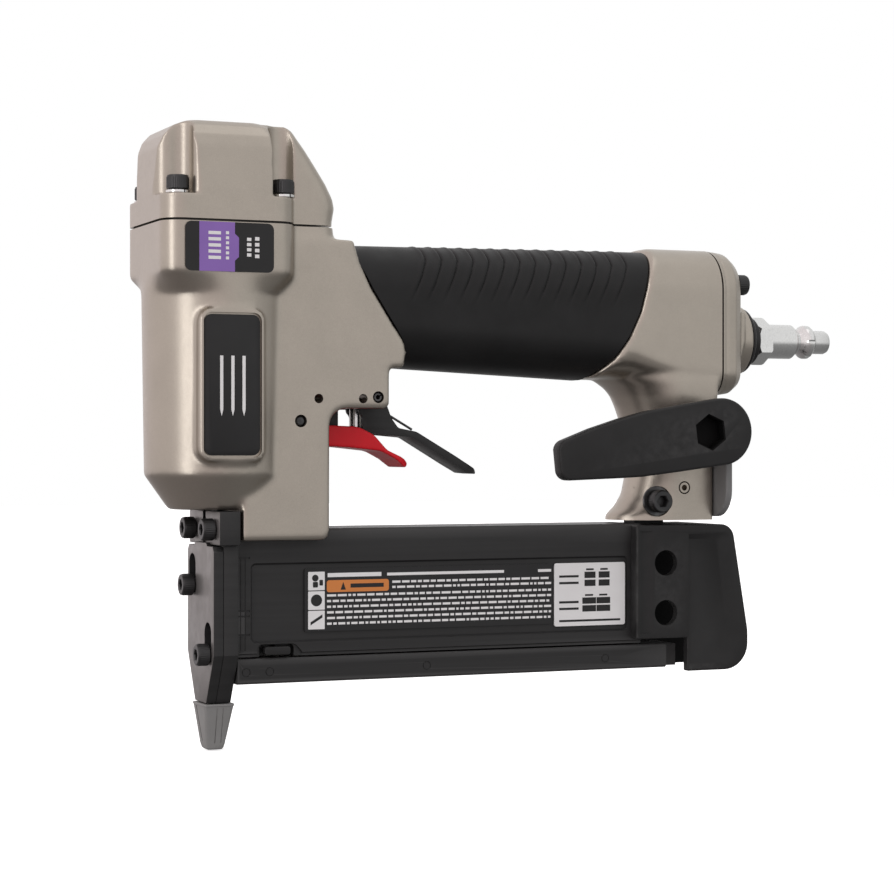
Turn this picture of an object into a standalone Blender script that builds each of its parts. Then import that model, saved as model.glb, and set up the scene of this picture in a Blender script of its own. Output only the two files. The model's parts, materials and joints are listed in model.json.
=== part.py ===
"""Pneumatic pin nailer, modelled as an assembly of separate solids.

Frame: the driver runs down the Z axis and the nose tip touches the work at Z = 0.
+X points back along the handle to the air plug, and -Y is the side with the belt hook.
Every length below is in millimetres and becomes metres where a vertex is made.
"""
import math

import bmesh
import bpy
from mathutils import Matrix, Vector

MM = 0.001
GAP = 0.3

# Driving dimensions of the casting
BARREL_R = 22.4
BARREL_FLOOR = 76.0
BARREL_CHAMFER_TOP = 87.0
SHOULDER_LOW = 144.0
SHOULDER_TOP = 150.0
SEAM_Z = 165.2
CAP_SEAT = 165.9
CAP_CHAMFER = 189.0
CAP_TOP = 197.0
BLOCK_X = (-22.2, 20.5)
BLOCK_HALF_Y = 23.0
BLOCK_CORNER = 6.5
WEB_HALF_Y = 17.0
LEG_REAR = 33.0
LEG_BOTTOM = 67.0
LOBE_REAR = 53.4
LOBE_BOTTOM = 108.0
SPINE_X = 35.4
HANDLE_TOP = 162.3
HANDLE_BOTTOM = 120.0
HANDLE_HALF_Y = 17.0
CORE_INSET = 3.3
END_SEAM = 175.0
END_FACE = 185.9
BRACKET_REAR = 173.8
BRACKET_HALF_Y = 13.6
BRACKET_BOTTOM = 70.9
BRACKET_CENTRE_X = 160.6

# Driving dimensions of the air motor
BORE_R = 20.0
BORE_FLOOR = 80.0
BORE_FLOOR_R = 14.9
BORE_STEP = 86.0
BLADE_PASSAGE_R = 3.4
SLEEVE_OUT_R = 14.4
SLEEVE_IN_R = 12.6
SLEEVE_TOP = 158.0
PISTON_LOW = 149.0
PISTON_TOP = 156.6
BUMPER_TOP = 88.6

# Driving dimensions of the nose and magazine
NOSE_FRONT = -4.5
NOSE_REAR = 3.7
NOSE_HALF_Y = 13.9
NOSE_LOW = 15.0
NOSE_TOP = 75.6
FLANGE_SCREW_Z = 69.9
INLET = (0.0, 132.8)
END_SCREW_SEAT = 184.4
MAGAZINE_BOLT = (152.2, 77.4)
TRACK_REAR = 156.6
TIP_TOP = 14.7
MAG_FRONT = 4.2
MAG_REAR = 146.8
MAG_HALF_Y = 11.6
MAG_TOP = 69.8
MAG_SPLIT = 29.3
RAIL_BOTTOM = 21.0
NAIL_LENGTH = 35.0
NAIL_FOOT = 24.2

# Joint axes
TRIGGER_AXIS = (23.2, 103.9)
LEVER_AXIS = (49.4, 111.6)
STEM_X = 48.0

# Belt hook
HOOK_SCREW = (0.0, 92.0)
HOOK_ROUND = (166.9, 100.9)
HOOK_ROUND_R = 10.9
HOOK_HEX = (162.2, 100.6)
HOOK_HEX_TURN = math.radians(37.0)
STRAP_THICK = 2.5
HOOK_NEAR = -32.0
CYLINDER_STEPS = 20

MATERIALS = {
    "champagne_cast": ((0.36, 0.32, 0.27), 0.38, 0.85),
    "black_metal": ((0.035, 0.035, 0.036), 0.42, 0.6),
    "black_plastic": ((0.03, 0.03, 0.03), 0.55, 0.0),
    "grip_rubber": ((0.02, 0.02, 0.021), 0.75, 0.0),
    "red_paint": ((0.55, 0.02, 0.035), 0.35, 0.0),
    "bright_steel": ((0.75, 0.75, 0.74), 0.22, 1.0),
    "dark_steel": ((0.05, 0.05, 0.05), 0.35, 0.9),
    "tip_plastic": ((0.2, 0.2, 0.195), 0.6, 0.0),
    "seal_rubber": ((0.015, 0.015, 0.015), 0.7, 0.0),
    "gasket_sheet": ((0.06, 0.055, 0.05), 0.8, 0.0),
    "valve_plastic": ((0.25, 0.25, 0.25), 0.5, 0.0),
    "label_black": ((0.02, 0.02, 0.02), 0.4, 0.0),
    "label_purple": ((0.24, 0.13, 0.5), 0.4, 0.0),
    "label_white": ((0.8, 0.8, 0.8), 0.4, 0.0),
    "filter_felt": ((0.35, 0.33, 0.28), 0.95, 0.0),
    "collated_wire": ((0.62, 0.6, 0.55), 0.3, 1.0),
}


# ---------------------------------------------------------------- materials and mesh helpers
def material(name):
    """Return the Principled material of that name, making it the first time."""
    if name in bpy.data.materials:
        return bpy.data.materials[name]
    color, roughness, metallic = MATERIALS[name]
    made = bpy.data.materials.new(name)
    made.use_nodes = True
    shader = made.node_tree.nodes["Principled BSDF"]
    shader.inputs["Base Color"].default_value = (*color, 1.0)
    shader.inputs["Roughness"].default_value = roughness
    shader.inputs["Metallic"].default_value = metallic
    made.diffuse_color = (*color, 1.0)
    return made


def finish_bmesh(name, mesh_data, look, origin=(0, 0, 0)):
    """Turn a bmesh in millimetres into an object whose origin is at that point."""
    bmesh.ops.recalc_face_normals(mesh_data, faces=mesh_data.faces)
    base = Vector(origin)
    for vert in mesh_data.verts:
        vert.co = (vert.co - base) * MM
    mesh = bpy.data.meshes.new(name)
    mesh_data.to_mesh(mesh)
    mesh_data.free()
    made = bpy.data.objects.new(name, mesh)
    made.location = base * MM
    bpy.context.scene.collection.objects.link(made)
    if look:
        mesh.materials.append(material(look))
    mesh.shade_smooth()
    mesh.set_sharp_from_angle(angle=math.radians(30))
    return made


def corner_arc(before, corner, after, radius, steps):
    """Return the points that round one corner of an outline."""
    here = Vector(corner)
    back = (Vector(before) - here).normalized()
    ahead = (Vector(after) - here).normalized()
    half_angle = back.angle(ahead) / 2
    centre = here + (back + ahead).normalized() * (radius / math.sin(half_angle))
    start = here + back * (radius / math.tan(half_angle)) - centre
    sweep = math.pi - 2 * half_angle
    turn = 1 if back.x * ahead.y - back.y * ahead.x < 0 else -1
    points = []
    for i in range(steps + 1):
        angle = turn * sweep * i / steps
        spun = Matrix.Rotation(angle, 2) @ start
        points.append(tuple(centre + spun))
    return points


def arc(centre, radius, first, last, steps):
    """Return the points of an arc between two angles in degrees."""
    points = []
    for i in range(steps + 1):
        angle = math.radians(first + (last - first) * i / steps)
        points.append((centre[0] + radius * math.cos(angle), centre[1] + radius * math.sin(angle)))
    return points


def rounded(corners, steps=3):
    """Turn (u, v) or (u, v, radius) corners into an outline with round corners."""
    outline = []
    count = len(corners)
    for i, corner in enumerate(corners):
        if len(corner) == 2:
            outline.append(corner)
            continue
        before = corners[i - 1][:2]
        after = corners[(i + 1) % count][:2]
        outline.extend(corner_arc(before, corner[:2], after, corner[2], steps))
    return outline


def box_outline(u_low, u_high, v_low, v_high, radius=0.0, steps=3):
    """Return a rectangle's outline, with round corners if a radius is given."""
    corners = [(u_low, v_low), (u_high, v_low), (u_high, v_high), (u_low, v_high)]
    if not radius:
        return corners
    return rounded([(u, v, radius) for u, v in corners], steps)


def circle(radius, centre=(0.0, 0.0), steps=CYLINDER_STEPS, phase=0.0):
    """Return a circle's points."""
    points = []
    for i in range(steps):
        angle = phase + 2 * math.pi * i / steps
        points.append((centre[0] + radius * math.cos(angle), centre[1] + radius * math.sin(angle)))
    return points


def place(axis, u, v, along):
    """Map an outline point and a distance along the axis to X, Y, Z."""
    if axis == "X":
        return Vector((along, u, v))
    if axis == "Y":
        return Vector((u, along, v))
    return Vector((u, v, along))


def loft(name, look, axis, rings, origin=(0, 0, 0)):
    """Skin a closed solid through (distance, outline) rings of equal length."""
    mesh_data = bmesh.new()
    loops = []
    for along, outline in rings:
        loops.append([mesh_data.verts.new(place(axis, u, v, along)) for u, v in outline])
    count = len(loops[0])
    sides = []
    for lower, upper in zip(loops, loops[1:]):
        for i in range(count):
            j = (i + 1) % count
            sides.append(mesh_data.faces.new((lower[i], lower[j], upper[j], upper[i])))
    if len(rings) > 2:
        bmesh.ops.triangulate(mesh_data, faces=sides)
    mesh_data.faces.new(loops[0])
    mesh_data.faces.new(loops[-1])
    return finish_bmesh(name, mesh_data, look, origin)


def prism(name, look, axis, outline, low, high, origin=(0, 0, 0)):
    """Extrude an outline along an axis."""
    return loft(name, look, axis, [(low, outline), (high, outline)], origin)


def turned(name, look, axis, profile, centre, steps=CYLINDER_STEPS, origin=(0, 0, 0)):
    """Revolve a closed (radius, distance) profile around an axis through centre."""
    mesh_data = bmesh.new()
    columns = []
    for i in range(steps):
        angle = 2 * math.pi * i / steps
        column = []
        for radius, along in profile:
            u = centre[0] + radius * math.cos(angle)
            v = centre[1] + radius * math.sin(angle)
            column.append(mesh_data.verts.new(place(axis, u, v, along)))
        columns.append(column)
    count = len(profile)
    for i in range(steps):
        ahead = columns[(i + 1) % steps]
        for k in range(count):
            m = (k + 1) % count
            if profile[k][0] == 0 and profile[m][0] == 0:
                continue
            mesh_data.faces.new((columns[i][k], columns[i][m], ahead[m], ahead[k]))
    bmesh.ops.remove_doubles(mesh_data, verts=mesh_data.verts, dist=1e-5)
    return finish_bmesh(name, mesh_data, look, origin)


def rod(name, look, axis, radius, low, high, centre, steps=20, origin=(0, 0, 0)):
    """Make a plain cylinder."""
    return prism(name, look, axis, circle(radius, centre, steps), low, high, origin)


def tube_ring(name, look, axis, inner, outer, low, high, centre, steps=CYLINDER_STEPS):
    """Make a plain ring or bush."""
    profile = [(inner, low), (outer, low), (outer, high), (inner, high)]
    return turned(name, look, axis, profile, centre, steps)


def combine(base, other, operation):
    """Apply one Boolean to base and remove the other object."""
    modifier = base.modifiers.new("boolean", "BOOLEAN")
    modifier.operation = operation
    modifier.solver = "EXACT"
    modifier.object = other
    bpy.context.view_layer.update()
    evaluated = base.evaluated_get(bpy.context.evaluated_depsgraph_get())
    mesh = bpy.data.meshes.new_from_object(evaluated)
    base.modifiers.clear()
    base.data = mesh
    base.data.name = base.name
    bpy.data.objects.remove(other)
    return base


def cut(base, *others):
    """Take each other solid out of base."""
    for other in others:
        combine(base, other, "DIFFERENCE")
    return base


def join(base, *others):
    """Fuse each other solid into base."""
    for other in others:
        combine(base, other, "UNION")
    return base


def polar_rounded_rect(x_low, x_high, half_y, radius, count=36):
    """Return a rounded rectangle's points, one on each of count equal directions."""
    centre_x = (x_low + x_high) / 2
    half_x = (x_high - x_low) / 2
    points = []
    for i in range(count):
        angle = 2 * math.pi * i / count
        dx, dy = math.cos(angle), math.sin(angle)
        reach = min(half_x / max(abs(dx), 1e-9), half_y / max(abs(dy), 1e-9))
        corner_x, corner_y = half_x - radius, half_y - radius
        if reach * abs(dx) > corner_x and reach * abs(dy) > corner_y:
            along = corner_x * abs(dx) + corner_y * abs(dy)
            off = corner_x**2 + corner_y**2 - radius**2
            reach = along + math.sqrt(max(along**2 - off, 0.0))
        points.append((centre_x + reach * dx, reach * dy))
    return points


# ---------------------------------------------------------------- casting
GRIP_FRONT = [(40.5, 163.0), (43.5, 154.0), (47.3, 146.5), (53.8, 136.4), (58.4, 129.6), (59.3, 126.0), (58.3, 121.0)]
GRIP_REAR = [(128.2, 118.9), (135.0, 125.2), (140.3, 132.8), (144.3, 141.1), (147.2, 152.0), (152.0, 166.0)]
HANDLE_UNDERSIDE = [(158.0, 100.0), (150.0, 113.0), (140.0, 117.0), (133.8, 118.2)]


def barrel_solid():
    """The cylinder barrel, its chamfered foot and the square shoulder on top."""
    rings = [
        (BARREL_FLOOR, circle(14.6, steps=36)),
        (BARREL_CHAMFER_TOP, circle(BARREL_R - 0.4, steps=36)),
        (SHOULDER_LOW, circle(BARREL_R + 0.3, steps=36)),
        (SHOULDER_TOP, polar_rounded_rect(*BLOCK_X, BLOCK_HALF_Y, BLOCK_CORNER)),
        (SEAM_Z, polar_rounded_rect(*BLOCK_X, BLOCK_HALF_Y, BLOCK_CORNER)),
    ]
    return loft("main_housing", "champagne_cast", "Z", rings)


def web_solid():
    """The flat web behind the barrel, with the leg and the trigger lobe."""
    outline = rounded(
        [
            (0.0, SEAM_Z),
            (SPINE_X, SEAM_Z),
            (36.5, HANDLE_TOP - 1.0, 3.0),
            (GRIP_FRONT[0][0] + 0.6, HANDLE_TOP - 1.0),
            *GRIP_FRONT[1:],
            (LOBE_REAR, GRIP_FRONT[-1][1]),
            (LOBE_REAR, LOBE_BOTTOM, 1.0),
            (LEG_REAR, LOBE_BOTTOM, 6.0),
            (LEG_REAR, LEG_BOTTOM, 2.3),
            (5.0, LEG_BOTTOM),
            (5.0, BARREL_FLOOR + 4.0),
            (0.0, BARREL_FLOOR + 4.0),
        ]
    )
    return prism("web", None, "Y", outline, -WEB_HALF_Y, WEB_HALF_Y)


def core_solid():
    """The air reservoir tube that the grip covers."""
    outline = box_outline(
        -HANDLE_HALF_Y + CORE_INSET,
        HANDLE_HALF_Y - CORE_INSET,
        HANDLE_BOTTOM + CORE_INSET + 0.8,
        HANDLE_TOP - CORE_INSET,
        11.0,
        4,
    )
    return prism("core", None, "X", outline, 34.0, END_SEAM)


def end_section(grow):
    """Cross-section of the handle's rear end, smaller by a negative grow."""
    half, low, high = HANDLE_HALF_Y + grow, 113.6 - grow, HANDLE_TOP + 0.8 + grow
    foot, shoulder = 8.0 + grow, 14.0 + grow
    return rounded([(-half, low, foot), (half, low, foot), (half, high, shoulder), (-half, high, shoulder)], 5)


def rear_solid():
    """The full-size rear end of the handle, cut to the grip's rear edge."""
    body = prism("rear", None, "X", end_section(0.0), 124.0, END_SEAM)
    edge = [(100.0, 166.0), (100.0, 100.0), *HANDLE_UNDERSIDE, *GRIP_REAR]
    trim = prism("rear_trim", None, "Y", edge, -20.0, 20.0)
    return cut(body, trim)


def bracket_ring(front, half_y, rear, steps=12):
    """Plan of the neck: a half ellipse in front and square corners behind."""
    points = [(rear, half_y)]
    for i in range(steps + 1):
        angle = math.pi * i / steps
        reach = BRACKET_CENTRE_X - front
        points.append((BRACKET_CENTRE_X - reach * math.sin(angle), half_y * math.cos(angle)))
    points.append((rear, -half_y))
    return points


def bracket_solid():
    """The neck that carries the rear of the magazine, flared at its foot and its top."""
    waist = [
        (BRACKET_BOTTOM, 139.9, BRACKET_HALF_Y),
        (72.4, 139.6, BRACKET_HALF_Y),
        (75.5, 142.6, BRACKET_HALF_Y),
        (79.5, 145.4, BRACKET_HALF_Y),
        (86.0, 147.0, BRACKET_HALF_Y),
        (98.0, 147.0, BRACKET_HALF_Y),
        (103.0, 146.2, 13.8),
        (106.0, 145.2, 14.0),
        (109.5, 144.0, 14.4),
        (113.3, 142.2, 14.9),
        (115.8, 139.9, 15.3),
        (117.8, 136.6, 15.8),
        (119.5, 134.0, 16.1),
        (124.0, 136.5, 16.4),
        (130.0, 140.2, 16.8),
        (136.0, 143.6, 16.9),
    ]
    rings = [(z, bracket_ring(front, half_y, BRACKET_REAR)) for z, front, half_y in waist]
    return loft("bracket", None, "Z", rings)


def badge_pad():
    """Flat pad on the barrel's near side that frames the badge."""
    pad = box_outline(-11.6, 9.2, 91.4, 138.2, 3.0)
    return prism("pad", None, "Y", pad, -22.9, -14.0)


def housing_cutters():
    """Everything that is hollow or drilled in the casting."""
    bore = [
        (0, BARREL_FLOOR - 5.0),
        (BLADE_PASSAGE_R, BARREL_FLOOR - 5.0),
        (BLADE_PASSAGE_R, BORE_FLOOR),
        (BORE_FLOOR_R, BORE_FLOOR),
        (BORE_FLOOR_R, BORE_STEP),
        (BORE_R, BORE_STEP + 4.0),
        (BORE_R, SEAM_Z + 5.0),
        (0, SEAM_Z + 5.0),
    ]
    cutters = [
        turned("bore", None, "Z", bore, (0, 0), 24),
        prism("badge_recess", None, "Y", box_outline(-10.6, 8.2, 92.4, 137.2, 2.5), -30.0, -21.9),
        prism("reservoir", None, "X", box_outline(-10.6, 10.6, 129.5, 155.6, 8.5, 3), 16.0, END_SEAM + 5.0),
        rod("valve_bore", None, "Z", 6.4, LOBE_BOTTOM - 4.0, 127.9, (STEM_X, 0), 16),
        rod("valve_feed", None, "Z", 3.0, 126.0, 134.0, (STEM_X, 0), 12),
        prism("trigger_slot", None, "Y", trigger_slot_outline(), -8.9, 8.9),
        prism("magazine_slot", None, "X", box_outline(-12.0, 12.0, 60.0, 70.2), 0.0, 40.0),
        prism("foot_slot", None, "X", box_outline(-16.6, 16.6, 60.0, BARREL_FLOOR - 0.02), -10.0, 4.6),
        turned(
            "bolt_bore",
            None,
            "Y",
            [(0, -20.0), (5.4, -20.0), (5.4, -11.6), (2.8, -11.6), (2.8, 10.0), (0, 10.0)],
            MAGAZINE_BOLT,
            14,
        ),
        prism("tab_slot", None, "Y", box_outline(148.0, 160.0, 66.0, 82.0), -4.3, 4.3),
        rod("lock_pin_hole", None, "Y", 2.2, -20.0, -9.0, (162.4, 81.9), 16),
        rod("hook_thread", None, "X", 2.3, BRACKET_REAR - 9.4, BRACKET_REAR + 5.0, HOOK_SCREW, 12),
    ]
    for i, (x, y) in enumerate(cap_screw_places()):
        cutters.append(rod(f"cap_thread_{i}", None, "Z", 2.3, 152.6, SEAM_Z + 5.0, (x, y), 12))
    for i, (u, v, radius) in enumerate(cross_hole_places()):
        cutters.append(rod(f"cross_hole_{i}", None, "Y", radius, -20.0, 20.0, (u, v), 10))
    for i, (y, z) in enumerate(end_screw_places()):
        cutters.append(rod(f"end_thread_{i}", None, "X", 2.0, END_SEAM - 13.0, END_SEAM + 5.0, (y, z), 8))
    return cutters


def trigger_slot_outline():
    """Side view of the slot that the trigger and the safety lever swing in."""
    return [
        (17.0, 92.0),
        (40.0, 92.0),
        (40.0, 100.0),
        (60.0, 100.0),
        (60.0, 115.4),
        (31.0, 115.4),
        (17.0, 109.0),
    ]


def cap_screw_places():
    """Centres of the four head cap screws."""
    return [(x, y) for x in (-17.3, 16.9) for y in (-18.0, 18.0)]


def cross_hole_places():
    """Cross holes for the trigger's and the lever's pivot pins, as X, Z, radius."""
    return [(*TRIGGER_AXIS, 1.9), (*LEVER_AXIS, 1.9)]


def end_screw_places():
    """Centres of the end cap screws, as Y, Z."""
    return [(-9.6, 151.6), (9.6, 151.6), (0.0, 119.6)]


def make_main_housing():
    """The casting: barrel, web, handle core, rear end and bracket."""
    body = barrel_solid()
    join(body, web_solid(), core_solid(), rear_solid(), bracket_solid(), badge_pad())
    cut(body, *housing_cutters())
    return body


# ---------------------------------------------------------------- head cap
def make_head_cap():
    """The cap that closes the top of the cylinder."""
    footprint = polar_rounded_rect(*BLOCK_X, BLOCK_HALF_Y, BLOCK_CORNER)
    rings = [
        (CAP_SEAT, footprint),
        (176.0, footprint),
        (CAP_CHAMFER, polar_rounded_rect(BLOCK_X[0] + 1.2, BLOCK_X[1] - 0.4, BLOCK_HALF_Y - 0.6, BLOCK_CORNER)),
        (CAP_TOP, polar_rounded_rect(BLOCK_X[0] + 9.0, BLOCK_X[1] - 8.0, BLOCK_HALF_Y - 7.0, 4.0)),
    ]
    cap = loft("head_cap", "champagne_cast", "Z", rings)
    fairing = [
        (0.0, CAP_SEAT),
        (SPINE_X, CAP_SEAT),
        (35.1, 172.5),
        (32.1, 179.2),
        (26.0, 189.4),
        (21.5, 195.4),
        (19.5, 196.2),
        (0.0, 196.2),
    ]
    join(cap, prism("fairing", None, "Y", fairing, -WEB_HALF_Y + 1.6, WEB_HALF_Y - 1.6))
    cut(cap, *head_cap_cutters())
    return cap


def head_cap_cutters():
    """Screw pockets, screw holes, the head valve bore and the exhaust way."""
    cutters = [
        rod("valve_room", None, "Z", 18.3, CAP_SEAT - 5.0, 183.0, (0, 0), 24),
        prism("exhaust_way", None, "X", box_outline(-6.0, 6.0, 172.0, 180.0), 10.0, 24.0),
    ]
    for i, (x, y) in enumerate(cap_screw_places()):
        cutters.append(rod(f"cap_pocket_{i}", None, "Z", 4.9, 173.4, 205.0, (x, y), 12))
        side = math.copysign(1, y)
        front = math.copysign(1, x)
        low, high = sorted((y, y + side * 12.0))
        flare = [(x - 4.4, low), (x + 4.4, low), (x + 4.4, high), (x - 4.4, high)]
        cutters.append(prism(f"cap_flare_{i}", None, "Z", flare, 173.4, 205.0))
        if front < 0:
            low_x, high_x = x - 12.0, x
            flare = [(low_x, y - 4.4), (high_x, y - 4.4), (high_x, y + 4.4), (low_x, y + 4.4)]
            cutters.append(prism(f"cap_front_flare_{i}", None, "Z", flare, 173.4, 205.0))
        cutters.append(rod(f"cap_hole_{i}", None, "Z", 2.35, 160.0, 176.0, (x, y), 10))
    return cutters


def make_head_gasket():
    """Thin sheet between the cap and the casting."""
    outer = polar_rounded_rect(BLOCK_X[0] + 0.6, BLOCK_X[1] - 0.6, BLOCK_HALF_Y - 0.6, BLOCK_CORNER - 0.6)
    low, high = SEAM_Z + 0.15, CAP_SEAT - 0.15
    gasket = prism("head_cap_gasket", "gasket_sheet", "Z", outer, low, high)
    cut(gasket, rod("gasket_bore", None, "Z", 18.6, low - 5.0, high + 5.0, (0, 0), 24))
    for i, (x, y) in enumerate(cap_screw_places()):
        cut(gasket, rod(f"gasket_hole_{i}", None, "Z", 2.35, low - 5.0, high + 5.0, (x, y), 10))
    return gasket


def socket_screw(name, axis, centre, seat, out, head_r, head_h, shank_r, shank_length):
    """A socket head cap screw; out is +1 or -1, the way the head faces along the axis."""
    top = seat + out * head_h
    profile = [
        (0, seat - out * shank_length),
        (shank_r, seat - out * shank_length),
        (shank_r, seat),
        (head_r, seat),
        (head_r, top),
        (0, top),
    ]
    screw = turned(name, "dark_steel", axis, profile, centre, 12)
    low, high = sorted((top - out * head_h * 0.55, top + out * 2.0))
    socket = prism("socket", None, axis, circle(head_r * 0.5, centre, 6), low, high)
    return cut(screw, socket)


def make_cap_screws():
    """Four cap screws and the lock washers under their heads."""
    for i, (x, y) in enumerate(cap_screw_places(), start=1):
        tube_ring(f"lock_washer_{i}", "bright_steel", "Z", 2.35, 3.7, 173.7, 174.6, (x, y), 12)
        socket_screw(f"head_cap_screw_{i}", "Z", (x, y), 174.9, 1, 3.5, 4.4, 2.0, 22.0)


# ---------------------------------------------------------------- air motor
def make_cylinder_sleeve():
    """The sleeve that the piston runs in, with its sealing collar."""
    profile = [
        (SLEEVE_IN_R, BORE_FLOOR + GAP),
        (SLEEVE_OUT_R, BORE_FLOOR + GAP),
        (SLEEVE_OUT_R, 150.5),
        (BORE_R - GAP, 150.5),
        (BORE_R - GAP, 154.0),
        (SLEEVE_OUT_R, 154.0),
        (SLEEVE_OUT_R, SLEEVE_TOP),
        (SLEEVE_IN_R, SLEEVE_TOP),
    ]
    return turned("cylinder_sleeve", "bright_steel", "Z", profile, (0, 0))


def make_bumper():
    """The rubber ring that stops the piston."""
    profile = [
        (3.2, BORE_FLOOR + GAP),
        (12.2, BORE_FLOOR + GAP),
        (12.2, 84.0),
        (11.0, BUMPER_TOP),
        (4.0, BUMPER_TOP),
        (3.2, 87.0),
    ]
    return turned("piston_bumper", "seal_rubber", "Z", profile, (0, 0))


def make_piston():
    """Piston with a groove for its seal ring."""
    profile = [
        (0, PISTON_LOW),
        (12.0, PISTON_LOW),
        (12.0, 151.4),
        (10.0, 151.4),
        (10.0, 154.2),
        (12.0, 154.2),
        (12.0, PISTON_TOP),
        (8.0, PISTON_TOP),
        (7.0, 153.0),
        (0, 153.0),
    ]
    turned("piston", "valve_plastic", "Z", profile, (0, 0))
    ring = [(10.3, 151.7), (12.3, 151.7), (12.3, 153.9), (10.3, 153.9)]
    turned("piston_seal_ring", "seal_rubber", "Z", ring, (0, 0))


def make_driver_blade():
    """The blade that pushes the pin: a round shank and a thin flat end."""
    shank = rod("driver_blade", "bright_steel", "Z", 2.3, 128.0, PISTON_LOW - GAP, (0, 0), 12)
    flat = prism("flat", None, "Z", box_outline(-0.55, 0.55, -1.2, 1.2), 61.5, 129.0)
    return join(shank, flat)


def make_head_valve():
    """The ring valve over the sleeve, its spring and the room above them."""
    profile = [
        (9.0, SLEEVE_TOP + GAP),
        (17.9, SLEEVE_TOP + GAP),
        (17.9, 170.0),
        (12.0, 170.0),
        (12.0, 163.0),
        (9.0, 163.0),
    ]
    turned("head_valve", "valve_plastic", "Z", profile, (0, 0))
    tube_ring("head_valve_spring", "bright_steel", "Z", 9.4, 11.4, 163.3, 182.6, (0, 0), 24)


def make_trigger_valve():
    """Valve body in the lobe, the stem that the trigger lifts, and its spring."""
    profile = [(2.3, 115.7), (6.1, 115.7), (6.1, 127.6), (2.6, 127.6), (2.6, 118.0), (2.3, 118.0)]
    turned("trigger_valve_body", "valve_plastic", "Z", profile, (STEM_X, 0), 24)
    stem = [(0, 98.6), (1.9, 98.6), (1.9, 119.6), (0, 119.6)]
    turned("valve_stem", "bright_steel", "Z", stem, (STEM_X, 0), 16)
    rod("valve_spring", "bright_steel", "Z", 1.9, 119.9, 127.4, (STEM_X, 0), 12)


# ---------------------------------------------------------------- trigger group
def make_trigger():
    """Red trigger: a channel open at the top, wide enough to take the lever."""
    pivot = (TRIGGER_AXIS[0], 0, TRIGGER_AXIS[1])
    outline = rounded(
        [
            (TRIGGER_AXIS[0] - 4.0, 107.6, 2.0),
            (30.0, 107.0, 3.0),
            (33.0, 102.9, 3.0),
            (46.0, 102.4, 8.0),
            (51.5, 99.8, 6.0),
            (56.0, 94.9, 5.0),
            (61.9, 92.2, 3.0),
            (64.3, 90.3, 1.0),
            (62.8, 88.7, 0.9),
            (59.4, 91.6, 6.0),
            (54.0, 94.4, 8.0),
            (42.5, 95.5, 10.0),
            (TRIGGER_AXIS[0] - 4.0, 96.6, 3.0),
        ]
    )
    body = prism("trigger", "red_paint", "Y", outline, -8.3, 8.3, pivot)
    pocket = [(15.0, 98.8), (43.0, 97.3), (54.3, 96.1), (56.0, 95.4), (56.0, 97.0), (50.0, 110.0), (15.0, 112.0)]
    cut(body, prism("pocket", None, "Y", pocket, -6.6, 6.6))
    cut(body, rod("pivot_hole", None, "Y", 1.8, -20.0, 20.0, TRIGGER_AXIS, 12))
    return body


def make_safety_lever():
    """Black lever behind the trigger: two cheeks joined by the finger bar."""
    pivot = (LEVER_AXIS[0], 0, LEVER_AXIS[1])
    cheek = rounded(
        [
            (46.9, 113.4, 1.6),
            (46.9, 107.0, 2.0),
            (48.2, 105.6, 2.0),
            (48.2, 100.4, 1.6),
            (52.0, 99.9),
            (56.5, 99.5),
            (65.6, 98.7, 3.0),
            (85.6, 87.1, 1.0),
            (89.4, 86.7, 0.5),
            (88.2, 88.6, 1.0),
            (67.0, 100.8, 5.0),
            (60.6, 102.0, 2.2),
            (58.2, 105.2, 2.0),
            (55.2, 113.4, 2.0),
        ]
    )
    body = prism("safety_lever", "black_metal", "Y", cheek, -6.2, 6.2, pivot)
    between = [(40.0, 90.0), (60.5, 90.0), (60.5, 100.6), (60.4, 120.0), (40.0, 120.0)]
    cut(body, prism("between", None, "Y", between, -4.8, 4.8))
    cut(body, rod("pivot_hole", None, "Y", 1.8, -20.0, 20.0, LEVER_AXIS, 12))
    return body


def make_lever_spring():
    """Torsion spring of the safety lever: a coil on the near pin and one long leg."""
    leg = [(50.9, 109.6), (51.4, 110.4), (65.2, 102.2), (64.8, 101.5)]
    coil = tube_ring("lever_spring", "dark_steel", "Y", 1.85, 2.8, -4.4, -2.8, LEVER_AXIS, 14)
    return join(coil, prism("leg", None, "Y", leg, -4.4, -3.6))


def make_spring_holder():
    """Block in the trigger slot that holds the trigger's return spring."""
    outline = box_outline(34.2, 40.5, 101.8, 115.1, 0.8)
    return prism("trigger_spring_holder", "black_plastic", "Y", outline, -4.0, 4.0)


def make_pivot_pins():
    """The cross pins that the trigger and the lever swing on."""
    rod("trigger_pivot_pin", "dark_steel", "Y", 1.5, -16.6, 16.6, TRIGGER_AXIS, 12)
    rod("lever_pivot_pin_near", "dark_steel", "Y", 1.5, -16.6, -2.5, LEVER_AXIS, 12)
    rod("lever_pivot_pin_far", "dark_steel", "Y", 1.5, 4.6, 16.6, LEVER_AXIS, 12)


# ---------------------------------------------------------------- nose
def nose_outline(half_low, half_high, low, shoulder, high):
    """Front view of the nose: straight sides that taper to the tip."""
    return [
        (-half_low, low),
        (half_low, low),
        (half_high, shoulder),
        (half_high, high),
        (-half_high, high),
        (-half_high, shoulder),
    ]


def lower_nose_screws():
    """Centres of the two lower nose screws, as Y, Z."""
    return [(7.7, 51.8), (-8.8, 30.7)]


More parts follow.
